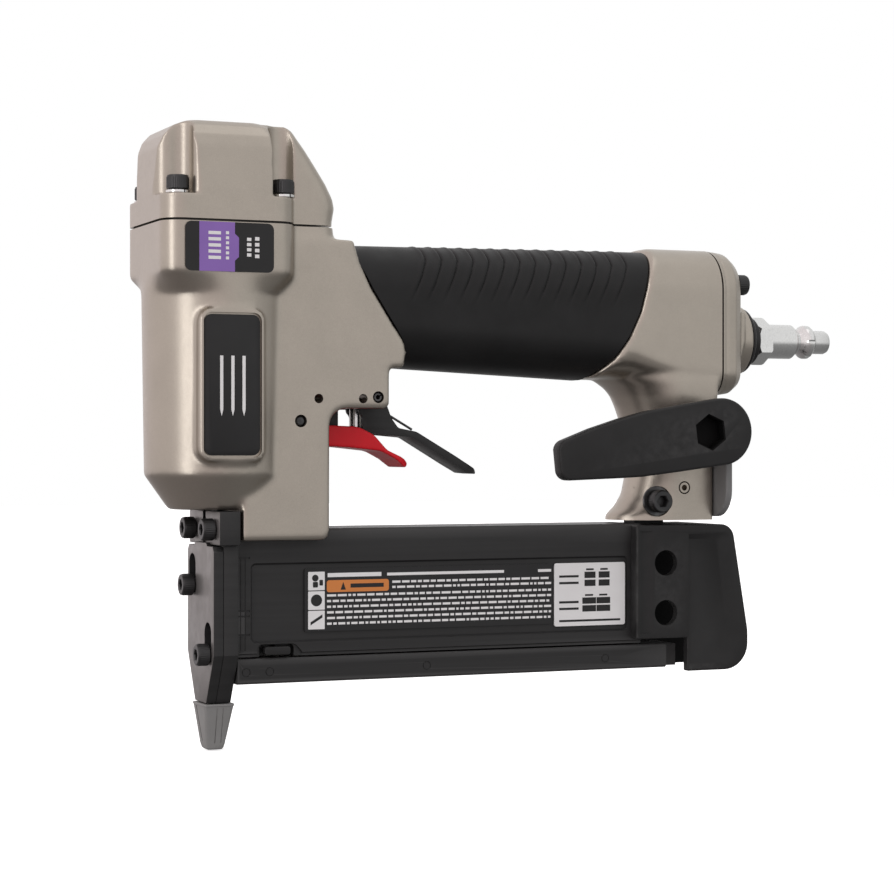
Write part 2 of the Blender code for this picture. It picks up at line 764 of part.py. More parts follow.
def make_nose():
    """Driver guide behind, nose plate in front, and the four screws."""
    lower = nose_outline(5.8, NOSE_HALF_Y, NOSE_LOW, 30.5, 65.2)
    guide = prism("driver_guide", "black_metal", "X", lower, -0.95, NOSE_REAR)
    join(guide, prism("guide_flange", None, "X", box_outline(-16.0, 16.0, 65.0, NOSE_TOP), -3.2, NOSE_REAR))
    join(guide, prism("guide_nib", None, "Z", box_outline(-0.95, 2.6, -3.0, 3.0), 3.0, NOSE_LOW + 1.0))
    cut(guide, prism("blade_channel", None, "Z", box_outline(-5.0, 0.95, -1.5, 1.5), 0.0, 80.0))
    cut(guide, rod("shank_channel", None, "Z", 3.2, 66.0, 80.0, (0, 0), 12))
    cut(guide, prism("nail_gate", None, "X", box_outline(-0.7, 0.7, 20.0, 62.0), -1.0, 8.0))
    plate = prism(
        "nose_plate", "black_metal", "X", nose_outline(5.8, NOSE_HALF_Y, NOSE_LOW, 30.5, 64.6), NOSE_FRONT, -1.25
    )
    for i, (y, z) in enumerate(lower_nose_screws()):
        slot = rounded([(y - 2.8, z - 2.4), (y + 2.8, z - 2.4), (y + 2.8, z + 10.0, 2.7), (y - 2.8, z + 10.0, 2.7)])
        cut(plate, prism(f"slot_{i}", None, "X", slot, -10.0, 5.0))
        cut(guide, rod(f"guide_thread_{i}", None, "X", 2.3, -5.0, 3.0, (y, z), 10))
        socket_screw(f"nose_screw_{i + 3}", "X", (y, z), NOSE_FRONT - GAP, -1, 3.5, 4.0, 2.0, 6.6)
    for i, y in enumerate((-10.2, 10.2)):
        cut(guide, rod(f"guide_hole_{i}", None, "X", 2.3, -5.0, 10.0, (y, FLANGE_SCREW_Z), 10))
        socket_screw(f"nose_screw_{i + 1}", "X", (y, FLANGE_SCREW_Z), -3.5, -1, 3.5, 4.0, 2.0, 6.9)


def make_nose_tip():
    """The soft tip that slips over the nib so the work isn't marked."""
    rings = [
        (0.0, box_outline(-3.3, 2.3, -3.2, 3.2, 0.8, 3)),
        (2.0, box_outline(-3.7, 2.7, -3.6, 3.6, 0.8, 3)),
        (TIP_TOP, box_outline(-5.2, 4.8, -6.6, 6.6, 0.8, 3)),
    ]
    tip = loft("no_mar_tip", "tip_plastic", "Z", rings)
    cut(tip, prism("tip_room", None, "Z", box_outline(-1.4, 2.95, -3.35, 3.35), 2.6, 20.0))
    cut(tip, prism("tip_exit", None, "Z", box_outline(-0.8, 0.9, -1.4, 1.4), -2.0, 4.0))
    return tip


# ---------------------------------------------------------------- magazine
def make_magazine():
    """Fixed magazine extrusion with its T slot and the label recess."""
    half = MAG_HALF_Y
    outline = [
        (-half, MAG_SPLIT + 0.3),
        (-0.8, MAG_SPLIT + 0.3),
        (-0.8, 61.4),
        (-6.0, 61.4),
        (-6.0, 66.8),
        (6.0, 66.8),
        (6.0, 61.4),
        (3.5, 61.4),
        (3.5, MAG_SPLIT + 0.3),
        (half, MAG_SPLIT + 0.3),
        (half, MAG_TOP),
        (-half, MAG_TOP),
    ]
    magazine = prism("magazine_housing", "black_metal", "X", outline, MAG_FRONT, MAG_REAR)
    panel = box_outline(9.0, 141.5, 34.5, 58.5, 1.5)
    cut(magazine, prism("label_recess", None, "Y", panel, -half - 5.0, -half + 0.9))
    latch = box_outline(11.4, 23.0, 29.0, 34.0, 1.2)
    cut(magazine, prism("latch_recess", None, "Y", latch, -half - 5.0, -half + 4.6))
    cut(magazine, rod("latch_spring_bore", None, "Y", 1.5, -half, -half + 8.0, (17.1, 31.4), 12))
    return magazine


def make_magazine_track():
    """Sliding rail with the fin that backs the nails."""
    outline = [
        (-11.3, RAIL_BOTTOM),
        (11.3, RAIL_BOTTOM),
        (11.3, MAG_SPLIT - 0.3),
        (3.1, MAG_SPLIT - 0.3),
        (3.1, 61.0),
        (0.75, 61.0),
        (0.75, NAIL_FOOT - 0.4),
        (-0.65, NAIL_FOOT - 0.4),
        (-0.65, MAG_SPLIT - 0.3),
        (-11.3, MAG_SPLIT - 0.3),
    ]
    track = prism("magazine_track", "black_metal", "X", outline, MAG_FRONT, TRACK_REAR)
    return join(track, prism("tongue", None, "X", box_outline(-8.0, 8.0, 21.4, 28.4), TRACK_REAR - 1.0, 161.8))


def make_track_latch():
    """Latch button in the magazine's side, with the spring behind it."""
    low, high = -MAG_HALF_Y - 0.9, -MAG_HALF_Y + 2.2
    prism("track_latch", "black_plastic", "Y", box_outline(12.9, 21.4, 30.1, 32.7, 0.8), low, high)
    rod("latch_spring", "bright_steel", "Y", 1.1, -MAG_HALF_Y + 4.7, -MAG_HALF_Y + 7.7, (17.1, 31.4), 12)


def make_feed():
    """Nail strip in the slot, and the pusher with its rolled spring."""
    strip = box_outline(4.6, 68.0, NAIL_FOOT, NAIL_FOOT + NAIL_LENGTH)
    prism("nail_strip", "collated_wire", "Y", strip, -0.35, 0.35)
    foot = prism("nail_pusher", "black_plastic", "Y", box_outline(68.4, 84.0, NAIL_FOOT + 1.0, 62.5), -0.35, 0.35)
    join(foot, prism("pusher_block", None, "X", box_outline(-5.6, 5.6, 61.8, 66.4), 68.4, 84.0))
    cut(foot, rod("spring_seat", None, "Y", 1.9, -4.0, 8.0, (76.0, 64.0), 12))
    tube_ring("pusher_spring", "bright_steel", "Y", 0.8, 1.6, -3.7, 3.7, (76.0, 64.0), 16)


def make_end_housing():
    """Plastic shell on the rear end of the magazine, open at the back and below."""
    outline = rounded(
        [
            (142.2, MAG_SPLIT + 1.9),
            (162.3, MAG_SPLIT + 1.9),
            (162.3, 19.8, 0.6),
            (185.9, 19.8, 9.0),
            (185.9, 33.0, 20.0),
            (179.8, 69.4, 5.0),
            (142.2, 69.4),
        ],
        5,
    )
    shell = prism("magazine_end_housing", "black_plastic", "Y", outline, -16.0, 16.0)
    cut(shell, prism("shell_room", None, "X", box_outline(-13.2, 13.2, 10.0, 66.9), 147.0, 200.0))
    cut(shell, prism("shell_mouth", None, "X", box_outline(-11.9, 11.9, 10.0, 80.0), 130.0, 147.1))
    tab = prism("tab", None, "Y", box_outline(148.4, 159.4, 67.6, 81.6, 1.0), -4.0, 4.0)
    join(shell, tab)
    cut(shell, rod("tab_hole", None, "Y", 2.8, -10.0, 10.0, MAGAZINE_BOLT, 20))
    for i, z in enumerate((56.6, 39.8)):
        cut(shell, rod(f"side_hole_{i}", None, "Y", 4.3, -20.0, 20.0, (154.0, z), 24))
    return shell


def make_magazine_bolt():
    """The bolt that holds the magazine in the bracket, and its washer."""
    tube_ring("magazine_bolt_washer", "bright_steel", "Y", 2.8, 5.1, -12.9, -11.9, MAGAZINE_BOLT, 16)
    socket_screw("magazine_bolt", "Y", MAGAZINE_BOLT, -13.2, -1, 3.85, 4.2, 2.5, 22.0)


# ---------------------------------------------------------------- handle, end cap and air inlet
def make_grip():
    """Rubber sleeve over the handle core."""
    rings = []
    for x, low, high in ((40.0, HANDLE_BOTTOM + 2.5, HANDLE_TOP - 1.5), (154.0, HANDLE_BOTTOM - 3.0, HANDLE_TOP - 0.1)):
        rings.append((x, box_outline(-HANDLE_HALF_Y, HANDLE_HALF_Y, low, high, 14.0, 5)))
    grip = loft("rubber_grip", "grip_rubber", "X", rings)
    inner = box_outline(
        -HANDLE_HALF_Y + CORE_INSET - GAP,
        HANDLE_HALF_Y - CORE_INSET + GAP,
        HANDLE_BOTTOM + CORE_INSET + 0.8 - GAP,
        HANDLE_TOP - CORE_INSET + GAP,
        11.3,
        4,
    )
    cut(grip, prism("core_room", None, "X", inner, 30.0, 170.0))
    front = [(u + GAP, v) for u, v in GRIP_FRONT]
    front = [(20.0, 170.0), (front[0][0], 170.0), *front, (front[-1][0], 110.0), (20.0, 110.0)]
    cut(grip, prism("front_trim", None, "Y", front, -25.0, 25.0))
    rear = [(u - 0.4, v) for u, v in GRIP_REAR]
    rear = [(127.0, 110.0), *rear, (152.0, 175.0), (180.0, 175.0), (180.0, 110.0)]
    cut(grip, prism("rear_trim", None, "Y", rear, -25.0, 25.0))
    return grip


def make_end_cap():
    """Rear cap with the inlet boss, the seal sheet in front of it and its screws."""
    low = END_SEAM + 0.7
    rings = [
        (low, end_section(0.0)),
        (180.5, end_section(-0.6)),
        (183.9, end_section(-3.0)),
        (END_FACE, end_section(-6.5)),
    ]
    cap = loft("end_cap", "champagne_cast", "X", rings)
    pad = [(178.0, 118.0), (182.4, 118.0), (183.9, 121.2), (185.6, 128.0), (186.5, 135.0), (186.8, 142.1), (178.0, 142.1)]
    join(cap, prism("inlet_pad", None, "Y", pad, -13.0, 13.0))
    join(cap, rod("inlet_boss", None, "X", 11.9, 180.0, 190.6, INLET, 32))
    cut(cap, rod("inlet_thread", None, "X", 7.6, 180.0, 200.0, INLET, 24))
    cut(cap, prism("cap_room", None, "X", box_outline(-10.5, 10.5, 129.5, 147.0, 4.0, 3), 170.0, 182.5))
    gasket = prism("end_cap_gasket", "gasket_sheet", "X", end_section(-0.6), END_SEAM + 0.15, low - 0.15)
    cut(gasket, prism("gasket_room", None, "X", box_outline(-10.5, 10.5, 129.5, 147.0, 4.0, 3), 170.0, 182.5))
    for i, (y, z) in enumerate(end_screw_places()):
        cut(cap, rod(f"end_hole_{i}", None, "X", 2.2, 170.0, 190.0, (y, z), 8))
        cut(cap, rod(f"end_seat_{i}", None, "X", 3.9, END_SCREW_SEAT - 0.3, 195.0, (y, z), 12))
        cut(gasket, rod(f"gasket_hole_{i}", None, "X", 2.2, 170.0, 190.0, (y, z), 8))
        socket_screw(f"end_cap_screw_{i + 1}", "X", (y, z), END_SCREW_SEAT, 1, 3.5, 4.2, 1.7, 16.0)


def make_inlet():
    """Bushing in the end cap and the quarter-inch air plug."""
    bush = [
        (4.6, 185.5),
        (7.3, 185.5),
        (7.3, 190.9),
        (11.2, 190.9),
        (11.2, 192.2),
        (8.2, 192.2),
        (8.2, 195.8),
        (4.6, 195.8),
    ]
    turned("inlet_bushing", "black_metal", "X", bush, INLET)
    plug_profile = [
        (2.6, 187.0),
        (4.2, 187.0),
        (4.2, 200.9),
        (6.0, 200.9),
        (6.0, 212.1),
        (5.0, 212.8),
        (3.9, 213.0),
        (3.9, 215.0),
        (5.7, 215.2),
        (5.7, 219.0),
        (4.1, 220.2),
        (4.1, 226.0),
        (3.4, 226.8),
        (2.6, 226.8),
    ]
    plug = turned("air_plug", "bright_steel", "X", plug_profile, INLET, 16)
    hexagon = prism("hexagon", None, "X", circle(8.2, INLET, 6, math.pi / 6), 196.1, 201.0)
    cut(hexagon, rod("hex_bore", None, "X", 3.4, 190.0, 215.0, INLET, 24))
    return join(plug, hexagon)


def make_exhaust_filter():
    """Felt block in the end cap room, off the inlet's path."""
    block = prism("exhaust_filter", "filter_felt", "X", box_outline(-6.3, 6.3, 142.6, 146.4, 1.0), 177.2, 182.0)
    return block


# ---------------------------------------------------------------- belt hook, labels
def make_belt_hook():
    """Paddle-shaped hook bolted to the bracket's side."""
    outline = [
        *arc(HOOK_ROUND, HOOK_ROUND_R, -78.0, 104.0, 14),
        (150.0, 108.6),
        (136.0, 105.4),
        *arc((112.6, 95.2), 3.0, 105.0, 170.0, 3),
        (107.6, 91.0),
        *arc((111.8, 87.4), 3.0, 190.0, 270.0, 3),
        (132.0, 84.9),
        (140.0, 85.5),
        (150.0, 87.0),
    ]
    hook = prism("belt_hook", "black_plastic", "Y", outline, HOOK_NEAR, HOOK_NEAR + 5.6)
    strap = rounded(
        [
            (-21.5, 72.6, 8.0),
            (9.0, 72.6, 6.0),
            (9.0, 108.0, 6.0),
            (-27.0, 108.0, 3.0),
            (-27.0, 93.0, 3.0),
            (-21.5, 87.0, 3.0),
        ]
    )
    join(hook, prism("strap", None, "X", strap, BRACKET_REAR + GAP, BRACKET_REAR + GAP + STRAP_THICK))
    cut(hook, rod("hook_screw_hole", None, "X", 2.3, 170.0, 180.0, HOOK_SCREW, 12))
    cut(hook, prism("hook_hex", None, "Y", circle(5.8, HOOK_HEX, 6, HOOK_HEX_TURN), -40.0, HOOK_NEAR + 4.6))
    return hook


def make_hook_screw():
    """The screw that clamps the belt hook to the bracket's rear face."""
    return socket_screw("belt_hook_screw", "X", HOOK_SCREW, BRACKET_REAR + 2 * GAP + STRAP_THICK, 1, 3.5, 3.5, 2.0, 12.0)


def make_labels():
    """Badge on the barrel, gauge label on the shoulder and two magazine labels."""
    badge = box_outline(-10.2, 7.8, 93.1, 136.6, 2.5)
    prism("badge_plate", "label_black", "Y", badge, -23.1, -22.2)
    gauge = box_outline(-15.3, 11.8, 150.2, 164.4, 2.0)
    prism("gauge_label", "label_purple", "Y", gauge, -23.7, -23.3)
    warning = box_outline(26.4, 113.9, 37.0, 57.0, 0.8)
    prism("magazine_label", "label_black", "Y", warning, -11.6 + 0.2, -11.6 + 0.6)
    rating = box_outline(114.4, 140.8, 36.0, 57.0, 0.8)
    prism("rating_label", "label_white", "Y", rating, -11.6 + 0.2, -11.6 + 0.6)


def clear_scene():
    """Remove whatever the opened file holds."""
    for item in list(bpy.data.objects):
        bpy.data.objects.remove(item)


def main():
    """Build every piece of the nailer."""
    clear_scene()
    make_main_housing()
    make_head_cap()
    make_head_gasket()
    make_cap_screws()
    make_cylinder_sleeve()
    make_bumper()
    make_piston()
    make_driver_blade()
    make_head_valve()
    make_trigger_valve()
    make_trigger()
    make_safety_lever()
    make_lever_spring()
    make_spring_holder()
    make_pivot_pins()
    make_nose()
    make_nose_tip()
    make_magazine()
    make_magazine_track()
    make_track_latch()
    make_feed()
    make_end_housing()
    make_magazine_bolt()
    make_grip()
    make_end_cap()
    make_inlet()
    make_exhaust_filter()
    make_belt_hook()
    make_hook_screw()
    make_labels()


main()
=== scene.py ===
"""Looks of the pneumatic pin nailer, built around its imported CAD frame.

Outlines below are in millimetres in the frame of the CAD part: Z is the drive axis, +X runs
back along the handle and -Y is the side with the belt hook. Meshes are made in metres.
"""
import json
import math
import random

import bmesh
import bpy
from mathutils import Matrix, Vector


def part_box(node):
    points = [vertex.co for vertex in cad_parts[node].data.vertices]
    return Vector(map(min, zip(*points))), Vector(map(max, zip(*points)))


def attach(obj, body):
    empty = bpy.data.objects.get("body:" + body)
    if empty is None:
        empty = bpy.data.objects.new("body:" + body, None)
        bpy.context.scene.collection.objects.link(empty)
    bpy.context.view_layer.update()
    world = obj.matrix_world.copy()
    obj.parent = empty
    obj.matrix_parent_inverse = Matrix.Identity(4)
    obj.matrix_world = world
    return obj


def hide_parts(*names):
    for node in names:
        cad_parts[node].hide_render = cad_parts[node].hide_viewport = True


MM = 0.001

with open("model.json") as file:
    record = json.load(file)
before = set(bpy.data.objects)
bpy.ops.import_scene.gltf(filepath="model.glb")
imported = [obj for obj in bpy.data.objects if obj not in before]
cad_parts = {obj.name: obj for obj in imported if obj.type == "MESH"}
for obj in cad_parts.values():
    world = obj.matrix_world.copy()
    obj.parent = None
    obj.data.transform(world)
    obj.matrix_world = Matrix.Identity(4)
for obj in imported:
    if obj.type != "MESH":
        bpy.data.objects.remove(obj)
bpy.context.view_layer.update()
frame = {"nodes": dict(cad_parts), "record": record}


def low_high(node):
    """Return a node's box in millimetres as two corners."""
    low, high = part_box(node)
    return [value / MM for value in low], [value / MM for value in high]


# ---------------------------------------------------------------- outlines
def arc(centre, radius, first, last, steps):
    """Return the points of an arc between two angles in degrees."""
    points = []
    for i in range(steps + 1):
        angle = math.radians(first + (last - first) * i / steps)
        points.append((centre[0] + radius * math.cos(angle), centre[1] + radius * math.sin(angle)))
    return points


def corner_arc(before, corner, after, radius, steps):
    """Return the points that round one corner of an outline."""
    here = Vector(corner)
    back = (Vector(before) - here).normalized()
    ahead = (Vector(after) - here).normalized()
    half_angle = back.angle(ahead) / 2
    centre = here + (back + ahead).normalized() * (radius / math.sin(half_angle))
    start = here + back * (radius / math.tan(half_angle)) - centre
    sweep = math.pi - 2 * half_angle
    turn = 1 if back.x * ahead.y - back.y * ahead.x < 0 else -1
    return [tuple(centre + Matrix.Rotation(turn * sweep * i / steps, 2) @ start) for i in range(steps + 1)]


def rounded(corners, steps=6):
    """Turn (u, v) or (u, v, radius) corners into an outline with round corners."""
    outline = []
    count = len(corners)
    for i, corner in enumerate(corners):
        if len(corner) == 2:
            outline.append(corner)
            continue
        before = corners[i - 1][:2]
        after = corners[(i + 1) % count][:2]
        outline.extend(corner_arc(before, corner[:2], after, corner[2], steps))
    return outline


def box_outline(u_low, u_high, v_low, v_high, radius=0.0, steps=6):
    """Return a rectangle's outline, with round corners if a radius is given."""
    corners = [(u_low, v_low), (u_high, v_low), (u_high, v_high), (u_low, v_high)]
    if not radius:
        return corners
    return rounded([(u, v, radius) for u, v in corners], steps)


def circle(radius, centre=(0.0, 0.0), steps=48, phase=0.0):
    """Return a circle's points."""
    points = []
    for i in range(steps):
        angle = phase + 2 * math.pi * i / steps
        points.append((centre[0] + radius * math.cos(angle), centre[1] + radius * math.sin(angle)))
    return points


def polar_rounded_rect(x_low, x_high, half_y, radius, count=120):
    """Return a rounded rectangle's points, one on each of count equal directions."""
    centre_x = (x_low + x_high) / 2
    half_x = (x_high - x_low) / 2
    points = []
    for i in range(count):
        angle = 2 * math.pi * i / count
        dx, dy = math.cos(angle), math.sin(angle)
        reach = min(half_x / max(abs(dx), 1e-9), half_y / max(abs(dy), 1e-9))
        corner_x, corner_y = half_x - radius, half_y - radius
        if reach * abs(dx) > corner_x and reach * abs(dy) > corner_y:
            along = corner_x * abs(dx) + corner_y * abs(dy)
            off = corner_x**2 + corner_y**2 - radius**2
            reach = along + math.sqrt(max(along**2 - off, 0.0))
        points.append((centre_x + reach * dx, reach * dy))
    return points


# ---------------------------------------------------------------- mesh helpers
def place(axis, u, v, along):
    """Map an outline point and a distance along the axis to X, Y, Z."""
    if axis == "X":
        return Vector((along, u, v))
    if axis == "Y":
        return Vector((u, along, v))
    return Vector((u, v, along))


def finish_mesh(name, mesh_data, sharp=30):
    """Turn a bmesh in millimetres into a smooth-shaded object in metres."""
    bmesh.ops.recalc_face_normals(mesh_data, faces=mesh_data.faces)
    bmesh.ops.scale(mesh_data, vec=(MM, MM, MM), verts=mesh_data.verts)
    mesh = bpy.data.meshes.new(name)
    mesh_data.to_mesh(mesh)
    mesh_data.free()
    made = bpy.data.objects.new(name, mesh)
    bpy.context.scene.collection.objects.link(made)
    shade(made, sharp)
    return made


def shade(piece, sharp=30):
    """Shade a piece smooth, with sharp edges past that angle."""
    piece.data.shade_smooth()
    piece.data.set_sharp_from_angle(angle=math.radians(sharp))
    return piece


def loft(name, axis, rings):
    """Skin a closed solid through (distance, outline) rings of equal length."""
    mesh_data = bmesh.new()
    loops = []
    for along, outline in rings:
        loops.append([mesh_data.verts.new(place(axis, u, v, along)) for u, v in outline])
    count = len(loops[0])
    for lower, upper in zip(loops, loops[1:]):
        for i in range(count):
            j = (i + 1) % count
            mesh_data.faces.new((lower[i], lower[j], upper[j], upper[i]))
    mesh_data.faces.new(loops[0])
    mesh_data.faces.new(loops[-1])
    return finish_mesh(name, mesh_data)


def prism(name, axis, outline, low, high):
    """Extrude an outline along an axis."""
    return loft(name, axis, [(low, outline), (high, outline)])


def turned(name, axis, profile, centre, steps=64):
    """Revolve a closed (radius, distance) profile around an axis through centre."""
    mesh_data = bmesh.new()
    columns = []
    for i in range(steps):
        angle = 2 * math.pi * i / steps
        column = []
        for radius, along in profile:
            u = centre[0] + radius * math.cos(angle)
            v = centre[1] + radius * math.sin(angle)
            column.append(mesh_data.verts.new(place(axis, u, v, along)))
        columns.append(column)
    count = len(profile)
    for i in range(steps):
        ahead = columns[(i + 1) % steps]
        for k in range(count):
            m = (k + 1) % count
            if profile[k][0] == 0 and profile[m][0] == 0:
                continue
            mesh_data.faces.new((columns[i][k], columns[i][m], ahead[m], ahead[k]))
    bmesh.ops.remove_doubles(mesh_data, verts=mesh_data.verts, dist=1e-5)
    return finish_mesh(name, mesh_data)


def rod(name, axis, radius, low, high, centre, steps=32):
    """Make a plain cylinder, used to build up or to cut a solid."""
    return prism(name, axis, circle(radius, centre, steps), low, high)


def bake_modifiers(piece):
    """Replace a piece's mesh by what its modifiers make of it."""
    bpy.context.view_layer.update()
    evaluated = piece.evaluated_get(bpy.context.evaluated_depsgraph_get())
    mesh = bpy.data.meshes.new_from_object(evaluated)
    piece.modifiers.clear()
    piece.data = mesh
    piece.data.name = piece.name
    return piece


def combine(base, other, operation, solver="MANIFOLD"):
    """Apply one Boolean to base and remove the other object."""
    modifier = base.modifiers.new("boolean", "BOOLEAN")
    modifier.operation = operation
    modifier.solver = solver
    modifier.object = other
    bake_modifiers(base)
    bpy.data.objects.remove(other)
    return base


def cut(base, *others):
    """Take each other solid out of base."""
    for other in others:
        combine(base, other, "DIFFERENCE")
    return base


def join(base, *others):
    """Fuse each other solid into base."""
    for other in others:
        combine(base, other, "UNION")
    return base


def gather(name, *solids):
    """Put several solids into one mesh without fusing them."""
    mesh_data = bmesh.new()
    for solid in solids:
        mesh_data.from_mesh(solid.data)
        bpy.data.objects.remove(solid)
    mesh = bpy.data.meshes.new(name)
    mesh_data.to_mesh(mesh)
    mesh_data.free()
    made = bpy.data.objects.new(name, mesh)
    bpy.context.scene.collection.objects.link(made)
    return made


def melt(piece, voxel, passes):
    """Fuse overlapping solids as voxels and smooth them, which fillets every edge."""
    remesh = piece.modifiers.new("remesh", "REMESH")
    remesh.mode = "VOXEL"
    remesh.voxel_size = voxel * MM
    remesh.use_smooth_shade = True
    smooth = piece.modifiers.new("smooth", "SMOOTH")
    smooth.factor = 0.5
    smooth.iterations = passes
    return bake_modifiers(piece)


def bevel(piece, width, segments=3, angle=40):
    """Round a piece's sharp edges."""
    modifier = piece.modifiers.new("bevel", "BEVEL")
    modifier.width = width * MM
    modifier.segments = segments
    modifier.limit_method = "ANGLE"
    modifier.angle_limit = math.radians(angle)
    modifier.harden_normals = False
    bake_modifiers(piece)
    return shade(piece, 40)


def finish_piece(piece, look, body, *nodes, slot=None):
    """Give a piece its material, its body and the CAD nodes that it stands for."""
    piece.data.materials.clear()
    piece.data.materials.append(LOOKS[look])
    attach(piece, body)
    if nodes:
        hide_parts(*nodes)
    return piece


# ---------------------------------------------------------------- materials
class Nodes:
    """Small helper that adds and links nodes in one material."""

    def __init__(self, name):
        self.material = bpy.data.materials.new(name)
        self.material.use_nodes = True
        self.tree = self.material.node_tree
        self.shader = self.tree.nodes["Principled BSDF"]
        self.place = self.add("ShaderNodeTexCoord").outputs["Object"]

    def add(self, kind, **settings):
        """Add a node and set its properties."""
        node = self.tree.nodes.new(kind)
        for key, value in settings.items():
            setattr(node, key, value)
        return node

    def link(self, source, target):
        """Join an output to an input."""
        self.tree.links.new(source, target)

    def noise(self, scale, detail=4.0, roughness=0.55, stretch=(1.0, 1.0, 1.0)):
        """Return a noise value, stretched along the object's axes if asked."""
        mapping = self.add("ShaderNodeMapping")
        mapping.inputs["Scale"].default_value = stretch
        self.link(self.place, mapping.inputs["Vector"])
        noise = self.add("ShaderNodeTexNoise")
        noise.inputs["Scale"].default_value = scale
        noise.inputs["Detail"].default_value = detail
        noise.inputs["Roughness"].default_value = roughness
        self.link(mapping.outputs["Vector"], noise.inputs["Vector"])
        return noise.outputs["Fac"]

    def spread(self, value, low, high, start=0.3, end=0.7):
        """Map a value from start..end to low..high."""
        mapped = self.add("ShaderNodeMapRange")
        mapped.inputs["From Min"].default_value = start
        mapped.inputs["From Max"].default_value = end
        mapped.inputs["To Min"].default_value = low
        mapped.inputs["To Max"].default_value = high
        self.link(value, mapped.inputs["Value"])
        return mapped.outputs["Result"]

    def blend(self, factor, first, second):
        """Mix two colours, or a colour with a colour socket, by a factor."""
        mix = self.add("ShaderNodeMix", data_type="RGBA")
        self.link(factor, mix.inputs["Factor"])
        for socket, value in ((mix.inputs["A"], first), (mix.inputs["B"], second)):
            if isinstance(value, tuple):
                socket.default_value = (*value, 1.0)
            else:
                self.link(value, socket)
        return mix.outputs["Result"]

    def edges(self, start=0.52, end=0.6):
        """Return 1 on sharp convex edges and 0 elsewhere."""
        geometry = self.add("ShaderNodeNewGeometry")
        return self.spread(geometry.outputs["Pointiness"], 0.0, 1.0, start, end)

    def bump(self, height, strength, distance, under=None):
        """Add a bump layer and return its normal."""
        bump = self.add("ShaderNodeBump")
        bump.inputs["Strength"].default_value = strength
        bump.inputs["Distance"].default_value = distance * MM
        self.link(height, bump.inputs["Height"])
        if under:
            self.link(under, bump.inputs["Normal"])
        return bump.outputs["Normal"]

    def plug(self, **values):
        """Set or link the Principled shader's inputs by name."""
        for key, value in values.items():
            socket = self.shader.inputs[key.replace("_", " ")]
            if hasattr(value, "is_linked"):
                self.link(value, socket)
            elif isinstance(value, tuple):
                socket.default_value = (*value, 1.0)
            else:
                socket.default_value = value
        return self.material


def grained(name, color, variation, roughness, grain, depth, metallic=0.0, wear=None, **extra):
    """A surface with blotchy colour, uneven gloss and a fine grain, worn along its edges if asked."""
    nodes = Nodes(name)
    blotches = nodes.noise(90.0, 3.0)
    darker = tuple(channel * (1.0 - variation) for channel in color)
    lighter = tuple(channel * (1.0 + variation) for channel in color)
    shade_of = nodes.blend(nodes.spread(blotches, 0.0, 1.0), darker, lighter)
    if wear:
        scuffs = nodes.add("ShaderNodeMath", operation="MULTIPLY")
        nodes.link(nodes.edges(), scuffs.inputs[0])
        nodes.link(nodes.spread(nodes.noise(400.0), 0.0, 0.7), scuffs.inputs[1])
        shade_of = nodes.blend(scuffs.outputs["Value"], shade_of, wear)
    gloss = nodes.spread(nodes.noise(260.0), roughness[0], roughness[1])
    normal = nodes.bump(nodes.noise(grain, 2.0), 0.35, depth)
    return nodes.plug(Base_Color=shade_of, Roughness=gloss, Normal=normal, Metallic=metallic, **extra)


def champagne_cast():
    """Metallic champagne paint over cast magnesium: fine flake and a faint orange peel."""
    nodes = Nodes("champagne_cast")
    blotches = nodes.noise(60.0, 3.0)
    base = nodes.blend(nodes.spread(blotches, 0.0, 1.0), (0.372, 0.335, 0.288), (0.408, 0.366, 0.315))
    flake = nodes.blend(nodes.spread(nodes.noise(5200.0, 1.0), 0.0, 0.16), base, (0.72, 0.66, 0.57))
    worn = nodes.add("ShaderNodeMath", operation="MULTIPLY")
    nodes.link(nodes.edges(0.53, 0.62), worn.inputs[0])
    nodes.link(nodes.spread(nodes.noise(300.0), 0.0, 0.5), worn.inputs[1])
    color = nodes.blend(worn.outputs["Value"], flake, (0.62, 0.57, 0.5))
    peel = nodes.bump(nodes.noise(900.0, 2.0), 0.10, 0.05)
    grain = nodes.bump(nodes.noise(4200.0, 2.0), 0.10, 0.012, peel)
    gloss = nodes.spread(nodes.noise(700.0), 0.30, 0.36)
    coat = {"Coat_Weight": 0.12, "Coat_Roughness": 0.25}
    return nodes.plug(Base_Color=color, Roughness=gloss, Normal=grain, Metallic=0.88, **coat)


def grip_rubber():
    """Soft black rubber with a fine moulded pebble."""
    nodes = Nodes("grip_rubber")
    pebble = nodes.add("ShaderNodeTexVoronoi", feature="SMOOTH_F1")
    pebble.inputs["Scale"].default_value = 1900.0
    nodes.link(nodes.place, pebble.inputs["Vector"])
    dust = nodes.spread(nodes.noise(70.0, 5.0), 0.0, 1.0, 0.35, 0.75)
    color = nodes.blend(dust, (0.007, 0.007, 0.0072), (0.011, 0.011, 0.0113))
    normal = nodes.bump(pebble.outputs["Distance"], 0.16, 0.06)
    gloss = nodes.spread(nodes.noise(150.0), 0.42, 0.52)
    return nodes.plug(Base_Color=color, Roughness=gloss, Normal=normal, IOR=1.36)


def black_metal():
    """Black anodised aluminium with faint lines along the extrusion."""
    nodes = Nodes("black_metal")
    lines = nodes.noise(500.0, 3.0, stretch=(0.02, 1.0, 1.0))
    color = nodes.blend(nodes.spread(lines, 0.0, 1.0), (0.024, 0.024, 0.0242), (0.030, 0.030, 0.0303))
    worn = nodes.blend(nodes.edges(0.56, 0.66), color, (0.07, 0.07, 0.07))
    gloss = nodes.spread(nodes.noise(300.0), 0.36, 0.46)
    normal = nodes.bump(lines, 0.12, 0.03)
    return nodes.plug(Base_Color=worn, Roughness=gloss, Normal=normal, IOR=1.32)


